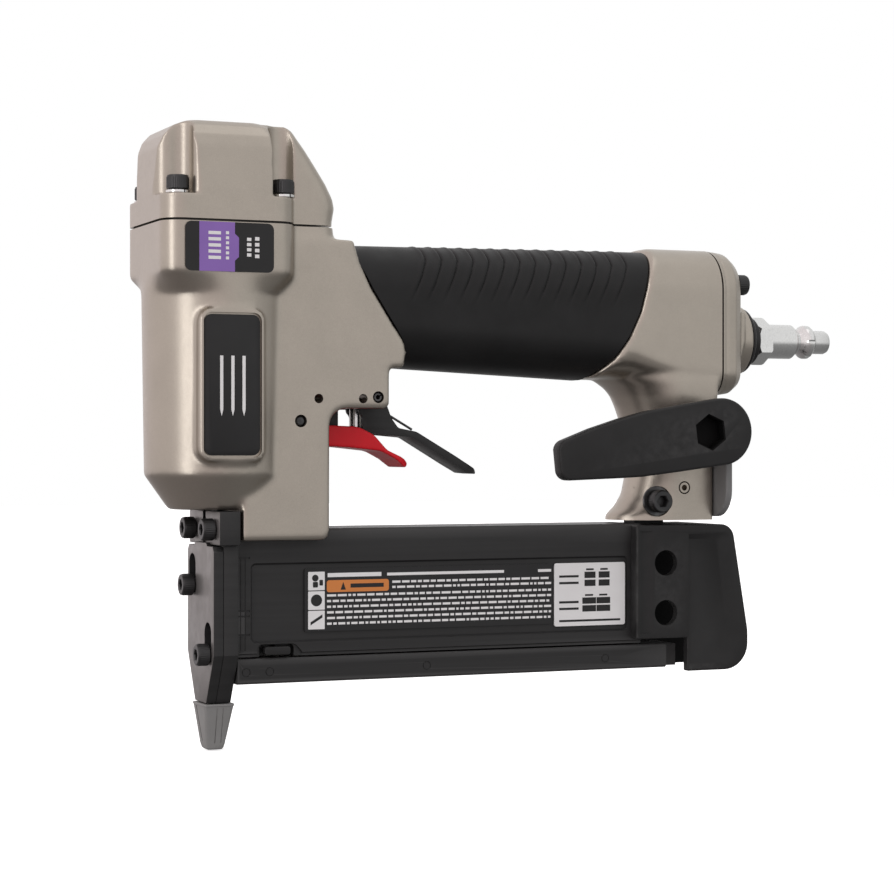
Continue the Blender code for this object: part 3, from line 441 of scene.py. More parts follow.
def brushed(name, color, roughness, scale, metallic=1.0):
    """Machined metal with fine turning marks."""
    nodes = Nodes(name)
    marks = nodes.noise(scale, 3.0, stretch=(4.0, 1.0, 1.0))
    tint = tuple(channel * 0.82 for channel in color)
    shade_of = nodes.blend(nodes.spread(marks, 0.0, 1.0), tint, color)
    gloss = nodes.spread(nodes.noise(scale * 0.5), roughness * 0.8, roughness * 1.3)
    normal = nodes.bump(marks, 0.12, 0.01)
    return nodes.plug(Base_Color=shade_of, Roughness=gloss, Normal=normal, Metallic=metallic)


def make_looks():
    """Return every material by its name; CAD slots share their names with these."""
    champagne, rubber, metal = champagne_cast(), grip_rubber(), black_metal()
    satin, glossy = (0.42, 0.52), (0.28, 0.40)
    grey_wear = (0.05, 0.05, 0.05)
    red_wear = (0.6, 0.04, 0.05)
    steel_wear = (0.16, 0.16, 0.16)
    looks = [
        champagne,
        rubber,
        metal,
        grained("black_plastic", (0.020, 0.020, 0.0202), 0.1, satin, 2600.0, 0.03, IOR=1.32, wear=grey_wear),
        # Strap: a lighter grey than the black plastic hook, painted light for the lamp falling on the
        # strap's forward face.
        grained("strap_painted_light", (0.20, 0.20, 0.20), 0.06, (0.45, 0.55), 2600.0, 0.03),
        # Near-black for the insides of holes and hollows: painted shade.
        grained("hole_painted_shade", (0.004, 0.004, 0.004), 0.10, (0.6, 0.7), 2600.0, 0.03, IOR=1.2),
        grained("red_paint", (0.66, 0.012, 0.022), 0.05, (0.36, 0.44), 900.0, 0.03, IOR=1.3, wear=red_wear),
        brushed("bright_steel", (0.80, 0.80, 0.79), 0.2, 1500.0),
        grained("dark_steel", (0.045, 0.045, 0.046), 0.12, glossy, 3000.0, 0.01, 0.75, wear=steel_wear),
        grained("tip_plastic", (0.245, 0.245, 0.240), 0.06, (0.5, 0.62), 2200.0, 0.04),
        grained("seal_rubber", (0.015, 0.015, 0.015), 0.1, (0.5, 0.7), 2000.0, 0.03),
        grained("gasket_sheet", (0.028, 0.026, 0.024), 0.15, (0.7, 0.9), 3500.0, 0.05),
        grained("valve_plastic", (0.26, 0.26, 0.26), 0.05, (0.4, 0.55), 1800.0, 0.03),
        # Lighter grey for the nose's forward faces: painted light where the lamp falls on the front.
        grained("nose_front_painted_light", (0.215, 0.205, 0.200), 0.06, (0.34, 0.46), 2400.0, 0.02, 0.6),
        grained("label_black", (0.018, 0.018, 0.0185), 0.08, (0.34, 0.44), 1500.0, 0.01, IOR=1.36),
        grained("label_purple", (0.245, 0.127, 0.455), 0.04, (0.36, 0.46), 1500.0, 0.01),
        grained("label_white", (0.80, 0.80, 0.80), 0.03, (0.4, 0.5), 1500.0, 0.01),
        grained("label_orange", (0.66, 0.22, 0.045), 0.04, (0.4, 0.5), 1500.0, 0.01),
        grained("filter_felt", (0.35, 0.33, 0.28), 0.2, (0.85, 1.0), 900.0, 0.3),
        brushed("collated_wire", (0.62, 0.60, 0.55), 0.3, 900.0),
    ]
    return {look.name.split(".")[0]: look for look in looks}


LOOKS = make_looks()


def dress_frame():
    """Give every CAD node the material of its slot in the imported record."""
    for entry in frame["record"]["subparts"]:
        target = frame["nodes"][entry["node"]]
        target.data.materials.clear()
        target.data.materials.append(LOOKS[entry["material_slot"]])
        shade(target)


# ---------------------------------------------------------------- casting
BARREL_FOOT = 76.0
BARREL_CHAMFER = 87.0
SHOULDER_LOW = 143.6
SHOULDER_TOP = 149.6
SEAM_Z = low_high("head_cap_gasket")[0][2] - 0.15
CAP_SEAT = low_high("head_cap")[0][2]
CAP_TOP = low_high("head_cap")[1][2]
BLOCK_X = (low_high("main_housing")[0][0], 20.5)
BLOCK_HALF_Y = low_high("main_housing")[1][1]
BLOCK_CORNER = 6.5
WEB_HALF_Y = 17.0
SPINE_X = 35.4
LEG_REAR = 33.0
LEG_BOTTOM = 66.2
LOBE_REAR = 53.4
LOBE_BOTTOM = 108.0
HANDLE_TOP = 162.3
HANDLE_BOTTOM = 120.0
END_SEAM = low_high("main_housing")[1][0]
BRACKET_REAR = low_high("belt_hook_screw")[1][0] - 6.6
BRACKET_HALF_Y = 13.6
BRACKET_BOTTOM = 70.9
BRACKET_CENTRE_X = 160.6
GRIP_FRONT = [
    (40.5, 163.0),
    (43.5, 154.0),
    (47.3, 146.5),
    (53.8, 136.4),
    (58.4, 129.6),
    (59.3, 126.0),
    (58.3, 121.0),
]
GRIP_REAR = [(128.2, 118.9), (135.0, 125.2), (140.3, 132.8), (144.3, 141.1), (147.2, 152.0), (152.0, 166.0)]
RIM_BEVEL = 0.9
TRIGGER_AXIS = (23.2, 103.9)
LEVER_AXIS = (49.4, 111.6)
STEM_X = 48.0
MAGAZINE_BOLT = (152.2, 77.4)
LOCK_PIN = (162.4, 81.9)


def barrel_solid():
    """The cylinder barrel, its chamfered foot and the square shoulder on top."""
    block = polar_rounded_rect(*BLOCK_X, BLOCK_HALF_Y, BLOCK_CORNER)
    rings = [
        (BARREL_FOOT, circle(14.4, steps=120)),
        (BARREL_CHAMFER, circle(22.1, steps=120)),
        (SHOULDER_LOW, circle(22.9, steps=120)),
        (SHOULDER_TOP, block),
        (SEAM_Z + 4.0, block),
    ]
    return loft("barrel", "Z", rings)


def web_solid():
    """The flat web behind the barrel, with the leg and the trigger lobe."""
    outline = rounded(
        [
            (0.0, 161.6),
            (36.2, 161.6),
            (GRIP_FRONT[0][0] + 0.7, 161.4),
            *GRIP_FRONT[1:],
            (LOBE_REAR, GRIP_FRONT[-1][1]),
            (LOBE_REAR, LOBE_BOTTOM, 1.5),
            (LEG_REAR, LOBE_BOTTOM, 6.0),
            (LEG_REAR, LEG_BOTTOM, 2.6),
            (4.0, LEG_BOTTOM),
            (4.0, BARREL_FOOT + 4.0),
            (0.0, BARREL_FOOT + 4.0),
        ]
    )
    return prism("web", "Y", outline, -WEB_HALF_Y, WEB_HALF_Y)


def spine_solid():
    """The round-backed column behind the shoulder block."""
    levels = [
        (150.0, 37.0, 16.6),
        (159.0, 36.8, 16.6),
        (162.5, 35.9, 16.2),
        (SEAM_Z + 4.0, SPINE_X, 15.9),
    ]
    rings = [(z, box_outline(0.0, rear, -half_y, half_y, 5.0, 8)) for z, rear, half_y in levels]
    return loft("spine", "Z", rings)


def end_section(grow, low=113.6, foot=8.0):
    """Cross-section of the handle's rear end, smaller by a negative grow."""
    half, high, shoulder = 17.0 + grow, HANDLE_TOP + 0.8 + grow, 14.0 + grow
    low, foot = low - grow, foot + grow
    corners = [(-half, low, foot), (half, low, foot), (half, high, shoulder), (-half, high, shoulder)]
    return rounded(corners, 14)


def rear_loft(grow):
    """The rear end of the handle, larger by grow, before its front edge is cut."""
    places = [
        (124.0, 119.2, 10.5),
        (142.0, 118.9, 9.8),
        (150.0, 117.2, 8.4),
        (160.0, 114.8, 7.8),
        (168.0, 113.8, 8.0),
        (END_SEAM + 4.0, 113.6, 8.0),
    ]
    return loft("rear", "X", [(x, end_section(grow, low, foot)) for x, low, foot in places])


def rear_solids():
    """The rear end twice: full size, and thinner but longer, which bevels its rim beside the grip."""
    solids = []
    for grow, setback in ((0.35, RIM_BEVEL), (-0.2, 0.0)):
        rim = [(x + setback, z) for x, z in ((128.2, 90.0), *GRIP_REAR, (153.2, 170.0))]
        edge = [(100.0, 170.0), (100.0, 90.0), *rim]
        solids.append(cut(rear_loft(grow), prism("rear_trim", "Y", edge, -25.0, 25.0)))
    return solids


def bracket_ring(front, half_y, rear, steps=40):
    """Plan of the neck: a half ellipse in front and square corners behind."""
    points = [(rear, half_y)]
    reach = BRACKET_CENTRE_X - front
    for i in range(steps + 1):
        angle = math.pi * i / steps
        points.append((BRACKET_CENTRE_X - reach * math.sin(angle), half_y * math.cos(angle)))
    points.append((rear, -half_y))
    return points


def bracket_solid():
    """The neck that carries the rear of the magazine, flared at its foot and its top."""
    waist = [
        (BRACKET_BOTTOM - 4.0, 140.2, BRACKET_HALF_Y),
        (72.4, 140.2, BRACKET_HALF_Y),
        (75.5, 143.8, BRACKET_HALF_Y),
        (79.5, 146.8, BRACKET_HALF_Y),
        (86.0, 148.4, BRACKET_HALF_Y),
        (96.0, 148.3, 14.0),
        (103.0, 147.2, 15.6),
        (106.0, 146.2, 16.4),
        (109.5, 144.9, 17.0),
        (113.3, 142.9, 17.3),
        (115.8, 140.4, 17.35),
        (117.8, 137.0, 17.35),
        (119.5, 134.4, 17.25),
        (122.5, 135.6, 17.2),
        (126.0, 140.0, 16.6),
        (129.0, 144.5, 15.6),
    ]
    rings = [(z, bracket_ring(front, half_y, 173.8)) for z, front, half_y in waist]
    return loft("bracket", "Z", rings)


def badge_frame():
    """Raised frame on the barrel's near side that holds the badge."""
    return prism("pad", "Y", box_outline(-11.9, 9.5, 91.1, 138.5, 4.0), -23.3, -14.0)


def bore_cutter():
    """The cylinder bore with the blade's passage under it."""
    profile = [
        (0, BARREL_FOOT - 6.0),
        (3.6, BARREL_FOOT - 6.0),
        (3.6, 80.0),
        (14.9, 80.0),
        (14.9, 86.0),
        (20.0, 90.0),
        (20.0, SEAM_Z + 9.0),
        (0, SEAM_Z + 9.0),
    ]
    return turned("bore", "Z", profile, (0, 0), 64)


def housing_cutters():
    """Flat faces that meet other pieces, and everything drilled or slotted in the casting."""
    trigger_slot = [
        (17.0, 92.0),
        (40.0, 92.0),
        (40.0, 100.0),
        (60.0, 100.0),
        (60.0, 115.4),
        (31.0, 115.4),
        (17.0, 109.0),
    ]
    bolt_bore = [(0, -30.0), (5.4, -30.0), (5.4, -11.6), (2.8, -11.6), (2.8, 9.0), (0, 9.0)]
    lock_pin_ring = [(1.75, -20.0), (2.2, -20.0), (2.2, -9.0), (1.75, -9.0)]
    cutters = [
        prism("seam_cut", "Z", box_outline(-40.0, 60.0, -40.0, 40.0), SEAM_Z, SEAM_Z + 20.0),
        prism("end_cut", "X", box_outline(-40.0, 40.0, 90.0, 190.0), END_SEAM, END_SEAM + 20.0),
        prism("neck_cut", "Z", box_outline(120.0, 190.0, -40.0, 40.0), 50.0, BRACKET_BOTTOM),
        bore_cutter(),
        prism("badge_recess", "Y", box_outline(-10.6, 8.2, 92.4, 137.2, 2.6), -30.0, -21.9),
        rod("valve_bore", "Z", 6.4, LOBE_BOTTOM - 6.0, 127.9, (STEM_X, 0)),
        prism("trigger_slot", "Y", trigger_slot, -8.9, 8.9),
        prism("magazine_slot", "X", box_outline(-12.0, 12.0, 50.0, 70.2), 0.0, 45.0),
        prism("foot_slot", "X", box_outline(-16.6, 16.6, 50.0, BARREL_FOOT - 0.02), -12.0, 4.6),
        turned("bolt_bore", "Y", bolt_bore, MAGAZINE_BOLT, 48),
        prism("tab_slot", "Y", box_outline(148.0, 160.0, 60.0, 82.0), -4.3, 4.3),
        turned("lock_pin_ring", "Y", lock_pin_ring, LOCK_PIN, 40),
        rod("lock_pin_hole", "Y", 1.0, -20.0, -9.0, LOCK_PIN),
    ]
    for side in (-1, 1):
        low, high = sorted((side * 25.0, side * 8.0))
        for i, (x, z, radius) in enumerate(cross_holes()):
            cutters.append(rod(f"cross_hole_{i}", "Y", radius, low, high, (x, z)))
    return cutters


def cross_holes():
    """Holes through the web for the trigger's pins, as X, Z, radius."""
    return [(*TRIGGER_AXIS, 2.0), (*LEVER_AXIS, 1.9), (29.2, 111.0, 1.5), (44.2, 111.1, 1.5)]


def make_housing():
    """The casting: barrel, web, handle core, rear end and bracket, filleted as a casting is."""
    solids = [barrel_solid(), web_solid(), spine_solid(), *rear_solids(), bracket_solid(), badge_frame()]
    body = melt(gather("housing_casting", *solids), 0.75, 9)
    core = box_outline(-13.6, 13.6, HANDLE_BOTTOM + 4.2, HANDLE_TOP - 3.4, 10.8, 10)
    join(body, prism("core", "X", core, 34.0, 160.0))
    cut(body, *housing_cutters())
    shade(body, 38)
    return finish_piece(body, "champagne_cast", "body", "main_housing")


# ---------------------------------------------------------------- head cap
CAP_SCREWS = [(x, y) for x in (-17.3, 16.9) for y in (-18.0, 18.0)]
FLUTE_Z = (173.6, 210.0)


def cap_blank():
    """The cap's block, its convex top and the fairing behind it."""
    footprint = polar_rounded_rect(*BLOCK_X, BLOCK_HALF_Y, BLOCK_CORNER)
    low_x, high_x = BLOCK_X
    levels = [
        (CAP_SEAT - 4.0, footprint),
        (176.0, footprint),
        (188.6, polar_rounded_rect(low_x + 0.9, high_x - 0.3, BLOCK_HALF_Y - 0.6, BLOCK_CORNER)),
        (192.4, polar_rounded_rect(low_x + 2.6, high_x - 3.2, BLOCK_HALF_Y - 2.4, 5.6)),
        (195.4, polar_rounded_rect(low_x + 5.4, high_x - 6.4, BLOCK_HALF_Y - 4.8, 4.8)),
        (CAP_TOP, polar_rounded_rect(low_x + 9.4, high_x - 9.6, BLOCK_HALF_Y - 7.4, 4.0)),
    ]
    block = loft("cap_block", "Z", levels)
    profile = [
        (CAP_SEAT - 4.0, SPINE_X),
        (167.0, SPINE_X),
        (171.5, 36.2),
        (174.5, 35.6),
        (179.2, 33.2),
        (184.4, 29.8),
        (189.4, 26.4),
        (195.4, 21.8),
        (196.6, 19.6),
    ]
    rings = [(z, box_outline(-6.0, rear, -15.9, 15.9, 5.0, 8)) for z, rear in profile]
    return gather("head_cap_casting", block, loft("fairing", "Z", rings))


def lip_circle(face, reach, channel):
    """Radius and centre, as (to the face, along it), of the round that joins a channel to a face."""
    radius = (face**2 + reach**2 - channel**2) / (2 * (face + channel))
    return radius, face - radius


def flute_plan(x, y):
    """Plan of one front flute: a round channel that opens between two convex lips."""
    channel, front_reach, side_reach = 4.7, 9.5, 6.5
    side = math.copysign(1, y)
    front_radius, front_in = lip_circle(x - BLOCK_X[0], front_reach, channel)
    side_radius, side_in = lip_circle(BLOCK_HALF_Y - abs(y), side_reach, channel)
    first = math.degrees(math.atan2(-front_reach, -front_in))
    last = math.degrees(math.atan2(side_in, side_reach))
    points = [(-30.0, -front_reach), (-front_in - front_radius, -front_reach)]
    points += arc((-front_in, -front_reach), front_radius, 180.0, first + 180.0, 16)
    points += arc((0.0, 0.0), channel, first, last, 32)
    points += arc((side_reach, side_in), side_radius, last + 180.0, 90.0, 16)
    points += [(side_reach, 30.0), (-30.0, 30.0)]
    return [(x + u, y + side * v) for u, v in points]


def cap_flutes():
    """The concave flutes above the four cap screws."""
    cutters = []
    for i, (x, y) in enumerate(CAP_SCREWS):
        side = math.copysign(1, y)
        if x < 0:
            cutters.append(prism(f"flute_{i}", "Z", flute_plan(x, y), *FLUTE_Z))
            continue
        cutters.append(rod(f"flute_{i}", "Z", 4.8, *FLUTE_Z, (x, y), 64))
        low, high = sorted((y, y + side * 14.0))
        mouth = box_outline(x - 4.8, x + 8.0, low, high)
        cutters.append(prism(f"flute_mouth_{i}", "Z", mouth, *FLUTE_Z))
    return cutters


def make_cap():
    """The cap that closes the top of the cylinder."""
    cap = melt(cap_blank(), 0.5, 4)
    cut(cap, *cap_flutes())
    cap = melt(cap, 0.42, 3)
    cut(cap, prism("seat_cut", "Z", box_outline(-40.0, 60.0, -40.0, 40.0), 140.0, CAP_SEAT))
    valve_room = [(0, 150.0), (18.3, 150.0), (18.3, 173.3), (13.0, 174.8), (13.0, 183.0), (0, 183.0)]
    cut(cap, turned("valve_room", "Z", valve_room, (0, 0), 64))
    shade(cap, 38)
    return finish_piece(cap, "champagne_cast", "body", "head_cap")


# ---------------------------------------------------------------- grip
GROOVE_COUNT = 14
GROOVE_START = 67.4
GROOVE_STEP = 5.6
GROOVE_FOOT = 142.0
GROOVE_LEAN = 0.44
LEAN_TOP = 156.5


def groove_depth(x, z):
    """How far the rubber sinks at a point: thin leaning grooves with a soft swell before each."""
    if z < GROOVE_FOOT - 2.0:
        return 0.0
    straight = x + GROOVE_LEAN * max(0.0, LEAN_TOP - z)
    place_in_row = (straight - GROOVE_START) / GROOVE_STEP
    nearest = min(max(round(place_in_row), 0), GROOVE_COUNT - 1)
    away = (place_in_row - nearest) * GROOVE_STEP
    fade = min(1.0, max(0.0, (z - GROOVE_FOOT) / 7.0))
    line = 0.55 * math.exp(-((away / 0.34) ** 2))
    swell = -0.26 * math.exp(-(((away + 1.0) / 0.9) ** 2))
    return fade * (line + swell)


def even_outline(outline, count):
    """Return that many points evenly spaced along a closed outline."""
    corners = [Vector(point) for point in outline]
    lengths = [(corners[(i + 1) % len(corners)] - corners[i]).length for i in range(len(corners))]
    total = sum(lengths)
    points = []
    edge, done = 0, 0.0
    for i in range(count):
        target = total * i / count
        while done + lengths[edge] < target:
            done += lengths[edge]
            edge += 1
        share = (target - done) / lengths[edge]
        points.append(corners[edge].lerp(corners[(edge + 1) % len(corners)], share))
    return points


def grip_ring(x):
    """Evenly spaced points round the grip at one place: its top and bottom slope a little."""
    share = (x - 40.0) / 114.0
    low = HANDLE_BOTTOM + 2.5 - 5.5 * share
    high = HANDLE_TOP - 1.5 + 1.4 * share
    section = even_outline(box_outline(-16.7, 16.7, low, high, 14.0, 16), 168)
    centre = Vector((0.0, (low + high) / 2))
    ring = []
    for point in section:
        inward = (centre - point).normalized()
        ring.append(tuple(point + inward * groove_depth(x, point.y)))
    return ring


def make_grip():
    """Rubber sleeve over the handle core, with its row of thin grooves."""
    rings = []
    x = 37.0
    while x < 157.0:
        rings.append((x, grip_ring(x)))
        x += 0.33 if GROOVE_START - 8.0 < x < 145.0 else 1.2
    grip = loft("grip_sleeve", "X", rings)
    inner = box_outline(-14.0, 14.0, HANDLE_BOTTOM + 3.8, HANDLE_TOP - 3.0, 11.1, 10)
    cut(grip, prism("core_room", "X", inner, 20.0, 180.0))
    front = [(u + 0.35, v) for u, v in GRIP_FRONT]
    front_trim = [(20.0, 172.0), (front[0][0] - 3.0, 172.0), *front, (front[-1][0], 110.0), (20.0, 110.0)]
    cut(grip, prism("front_trim", "Y", front_trim, -25.0, 25.0))
    rear = [(u - 0.5, v) for u, v in GRIP_REAR]
    rear_trim = [(127.0, 110.0), *rear, (154.0, 172.0), (180.0, 172.0), (180.0, 110.0)]
    cut(grip, prism("rear_trim", "Y", rear_trim, -25.0, 25.0))
    shade(grip, 34)
    return finish_piece(grip, "grip_rubber", "body", "rubber_grip")


# ---------------------------------------------------------------- end cap and air inlet
INLET = (0.0, 132.8)
END_LOW = low_high("end_cap")[0][0]
END_FACE = 185.9
END_SCREW_SEAT = 184.4
END_SCREWS = [(-9.6, 151.6), (9.6, 151.6), (0.0, 119.6)]


def make_end_cap():
    """Rear cap with its seal, the inlet's pad and boss, and a shallow groove behind its front edge."""
    rings = [
        (END_LOW - 3.0, end_section(0.2)),
        (END_LOW + 0.8, end_section(0.2)),
        (END_LOW + 1.0, end_section(-0.3)),
        (END_LOW + 1.5, end_section(-0.3)),
        (END_LOW + 1.7, end_section(0.1)),
        (181.0, end_section(-0.4)),
        (183.9, end_section(-2.6)),
        (END_FACE, end_section(-6.2)),
    ]
    pad = rounded(
        [
            (178.0, 119.0),
            (182.4, 119.0, 1.5),
            (184.6, 124.0),
            (186.6, 132.0),
            (187.2, 142.2, 1.8),
            (178.0, 142.2),
        ]
    )
    solids = [
        loft("cap", "X", rings),
        prism("pad", "Y", pad, -13.0, 13.0),
        rod("boss", "X", 12.1, 176.0, 190.6, INLET, 96),
    ]
    cap = melt(gather("end_cap_casting", *solids), 0.45, 3)
    cut(cap, prism("front_cut", "X", box_outline(-40.0, 40.0, 90.0, 190.0), 160.0, END_LOW))
    cut(cap, rod("thread_room", "X", 7.5, 170.0, 200.0, INLET, 48))
    cut(cap, prism("filter_room", "X", box_outline(-10.5, 10.5, 129.5, 147.0, 4.0), 165.0, 182.5))
    for i, centre in enumerate(END_SCREWS):
        cut(cap, rod(f"end_seat_{i}", "X", 4.0, END_SCREW_SEAT - 0.3, 200.0, centre, 40))
        cut(cap, rod(f"end_hole_{i}", "X", 2.2, 165.0, 190.0, centre, 24))
    shade(cap, 38)
    return finish_piece(cap, "champagne_cast", "body", "end_cap")


def make_bushing():
    """Black bushing with its flange ring."""
    profile = [
        (4.7, 185.5),
        (7.3, 185.5),
        (7.3, 190.9),
        (10.7, 190.9),
        (11.2, 191.3),
        (11.2, 192.0),
        (10.8, 192.4),
        (8.2, 192.4),
        (8.2, 195.5),
        (7.8, 195.9),
        (4.7, 195.9),
    ]
    bushing = turned("bushing", "X", profile, INLET, 96)
    return finish_piece(bushing, "black_metal", "body", "inlet_bushing")


def make_plug():
    """Bright air plug: a chamfered hexagon, a barrel and a notched collar behind its tip."""
    profile = [
        (2.6, 187.0),
        (4.2, 187.0),
        (4.2, 200.9),
        (5.6, 200.9),
        (6.0, 201.4),
        (6.0, 211.8),
        (5.3, 212.7),
        (4.0, 213.4),
        (3.8, 214.6),
        (4.6, 215.9),
        (5.6, 216.8),
        (5.85, 217.4),
        (5.85, 218.8),
        (5.5, 219.4),
        (4.2, 220.5),
        (4.1, 221.1),
        (4.1, 225.6),
        (3.7, 226.5),
        (3.0, 226.8),
        (2.6, 226.6),
    ]
    plug = turned("plug_body", "X", profile, INLET, 96)
    hexagon = prism("hexagon", "X", circle(8.3, INLET, 6, math.pi / 6), 196.1, 201.2)
    corners = [
        (3.4, 190.0),
        (3.4, 205.0),
        (5.6, 205.0),
        (8.4, 200.5),
        (8.4, 196.8),
        (7.3, 195.9),
        (7.3, 190.0),
    ]
    combine(hexagon, turned("hex_chamfer", "X", corners, INLET, 96), "INTERSECT")
    join(plug, hexagon)
    for i in range(6):
        angle = 2 * math.pi * i / 6
        notch = (INLET[0] + 6.2 * math.cos(angle), INLET[1] + 6.2 * math.sin(angle))
        cut(plug, rod(f"notch_{i}", "X", 0.8, 215.4, 220.6, notch, 16))
    shade(plug, 30)
    return finish_piece(plug, "bright_steel", "body", "air_plug")


# ---------------------------------------------------------------- screws and pins
def knurled(radius, centre, depth=0.13, ridges=36):
    """Outline of a knurled head: small even ridges round a circle."""
    points = []
    for i in range(ridges * 2):
        angle = math.pi * i / ridges
        reach = radius - depth * (i % 2)
        points.append((centre[0] + reach * math.cos(angle), centre[1] + reach * math.sin(angle)))
    return points


def hex_socket(axis, centre, radius, top, out, depth):
    """Cutter for a hexagon socket with a small chamfer at its mouth."""
    floor, mouth = top - out * depth, top + out * 0.5
    rings = [
        (floor, circle(radius, centre, 6)),
        (top - out * 0.35, circle(radius, centre, 6)),
        (mouth, circle(radius + 0.8, centre, 6)),
    ]
    return loft("socket", axis, rings)


def make_screw(node, axis, out, head_height, shank):
    """Socket-head cap screw with a knurled head, in the place of the CAD node."""
    low, high = low_high(node)
    index = "XYZ".index(axis)
    across = [i for i in range(3) if i != index]
    centre = tuple((low[i] + high[i]) / 2 for i in across)
    radius = (high[across[0]] - low[across[0]]) / 2
    top = high[index] if out > 0 else low[index]
    tail = low[index] if out > 0 else high[index]
    seat = top - out * head_height
    rings = [
        (tail, circle(shank - 0.4, centre, 72)),
        (tail + out * 0.5, circle(shank, centre, 72)),
        (seat, circle(shank, centre, 72)),
        (seat + out * 0.01, circle(radius - 0.35, centre, 72)),
        (seat + out * 0.3, circle(radius - 0.05, centre, 72)),
        (seat + out * 0.45, knurled(radius, centre)),
        (top - out * 0.75, knurled(radius, centre)),
        (top - out * 0.55, circle(radius - 0.14, centre, 72)),
        (top - out * 0.15, circle(radius - 0.22, centre, 72)),
        (top, circle(radius - 0.5, centre, 72)),
    ]
    screw = loft(f"{node}_detailed", axis, rings)
    cut(screw, hex_socket(axis, centre, radius * 0.5, top, out, head_height * 0.6))
    shade(screw, 24)
    return finish_piece(screw, "dark_steel", "body", node)


def make_screws():
    """All socket-head screws, each on its own CAD node."""
    for i in range(1, 5):
        make_screw(f"head_cap_screw_{i}", "Z", 1, 4.4, 2.0)
        make_screw(f"nose_screw_{i}", "X", -1, 4.0, 2.0)
    for i in range(1, 4):
        make_screw(f"end_cap_screw_{i}", "X", 1, 4.2, 1.7)
    make_screw("belt_hook_screw", "X", 1, 3.5, 2.0)
    make_screw("magazine_bolt", "Y", -1, 4.2, 2.5)


def make_washers():
    """Split lock washers under the cap screws and a plain washer under the magazine bolt."""
    for i, centre in enumerate(CAP_SCREWS, start=1):
        profile = [(2.35, 173.7), (3.55, 173.7), (3.7, 173.85), (3.7, 174.5), (3.6, 174.6), (2.35, 174.6)]
        washer = turned(f"split_washer_{i}", "Z", profile, centre, 72)
        side = math.copysign(1, centre[1])
        low, high = sorted((centre[1] + side * 2.0, centre[1] + side * 5.0))
        slit = box_outline(centre[0] + 0.9, centre[0] + 1.35, low, high)
        cut(washer, prism("slit", "Z", slit, 170.0, 180.0))
        shade(washer, 30)
        finish_piece(washer, "bright_steel", "body", f"lock_washer_{i}")
    ring = [(2.8, -12.9), (4.9, -12.9), (5.1, -12.7), (5.1, -12.1), (4.9, -11.9), (2.8, -11.9)]
    washer = turned("plain_washer", "Y", ring, MAGAZINE_BOLT, 72)
    finish_piece(washer, "dark_steel", "body", "magazine_bolt_washer", slot="bright_steel")


def roll_pin(name, low, high, centre, slit_angle):
    """Rolled spring pin: a tube with a lengthwise slit and chamfered ends."""
    profile = [
        (0.75, low),
        (1.25, low),
        (1.5, low + 0.35),
        (1.5, high - 0.35),
        (1.25, high),
        (0.75, high),
    ]
    pin = turned(name, "Y", profile, centre, 40)
    across = Vector((math.cos(slit_angle), math.sin(slit_angle)))
    side = Vector((-across.y, across.x)) * 0.2
    middle = Vector(centre)
    far = across * 3
    corners = (middle + side, middle - side, middle - side + far, middle + side + far)
    slit = [tuple(corner) for corner in corners]
    return cut(pin, prism("pin_slit", "Y", slit, low - 1.0, high + 1.0))


def make_pins():
    """Solid trigger pin and the two rolled lever pins."""
    low, high = (corner[1] for corner in low_high("trigger_pivot_pin"))
    profile = [(0, low), (1.1, low), (1.5, low + 0.4), (1.5, high - 0.4), (1.1, high), (0, high)]
    pin = turned("trigger_pin", "Y", profile, TRIGGER_AXIS, 48)
    finish_piece(pin, "dark_steel", "body", "trigger_pivot_pin")
    for side in ("near", "far"):
        low, high = (corner[1] for corner in low_high(f"lever_pivot_pin_{side}"))
        pin = roll_pin(f"lever_pin_{side}", low, high, LEVER_AXIS, 0.6)
        finish_piece(shade(pin, 30), "dark_steel", "body", f"lever_pivot_pin_{side}")


# ---------------------------------------------------------------- trigger group
def make_trigger():
    """Painted trigger with a hooked lip and rounded edges."""
    outline = rounded(
        [
            (TRIGGER_AXIS[0] - 3.8, 107.4, 2.0),
            (30.0, 106.8, 3.0),
            (33.0, 102.8, 3.0),
            (46.0, 102.3, 8.0),
            (51.5, 99.7, 6.0),
            (56.0, 94.8, 5.0),
            (61.9, 92.1, 3.0),
            (64.3, 90.3, 1.0),
            (62.8, 88.7, 0.9),
            (59.4, 91.6, 6.0),
            (54.0, 94.4, 8.0),
            (42.5, 95.6, 10.0),
            (TRIGGER_AXIS[0] - 3.8, 96.7, 3.0),
        ],
        10,
    )
    body = prism("trigger_body", "Y", outline, -8.2, 8.2)
    plan = [(10.0, -8.3), (50.0, -8.3), (65.0, -8.3, 6.0), (65.0, 8.3, 6.0), (50.0, 8.3), (10.0, 8.3)]
    combine(body, prism("plan", "Z", rounded(plan, 8), 80.0, 112.0), "INTERSECT")
    pocket = [
        (15.0, 98.8),
        (43.0, 97.3),
        (54.3, 96.1),
        (56.0, 95.4),
        (56.0, 97.0),
        (50.0, 110.0),
        (15.0, 112.0),
    ]
    cut(body, prism("pocket", "Y", pocket, -6.7, 6.7))
    body = melt(body, 0.36, 5)
    cut(body, rod("pivot_hole", "Y", 1.8, -20.0, 20.0, TRIGGER_AXIS, 32))
    shade(body, 50)
    body.name = "trigger_painted"
    return finish_piece(body, "red_paint", "trigger", "trigger")


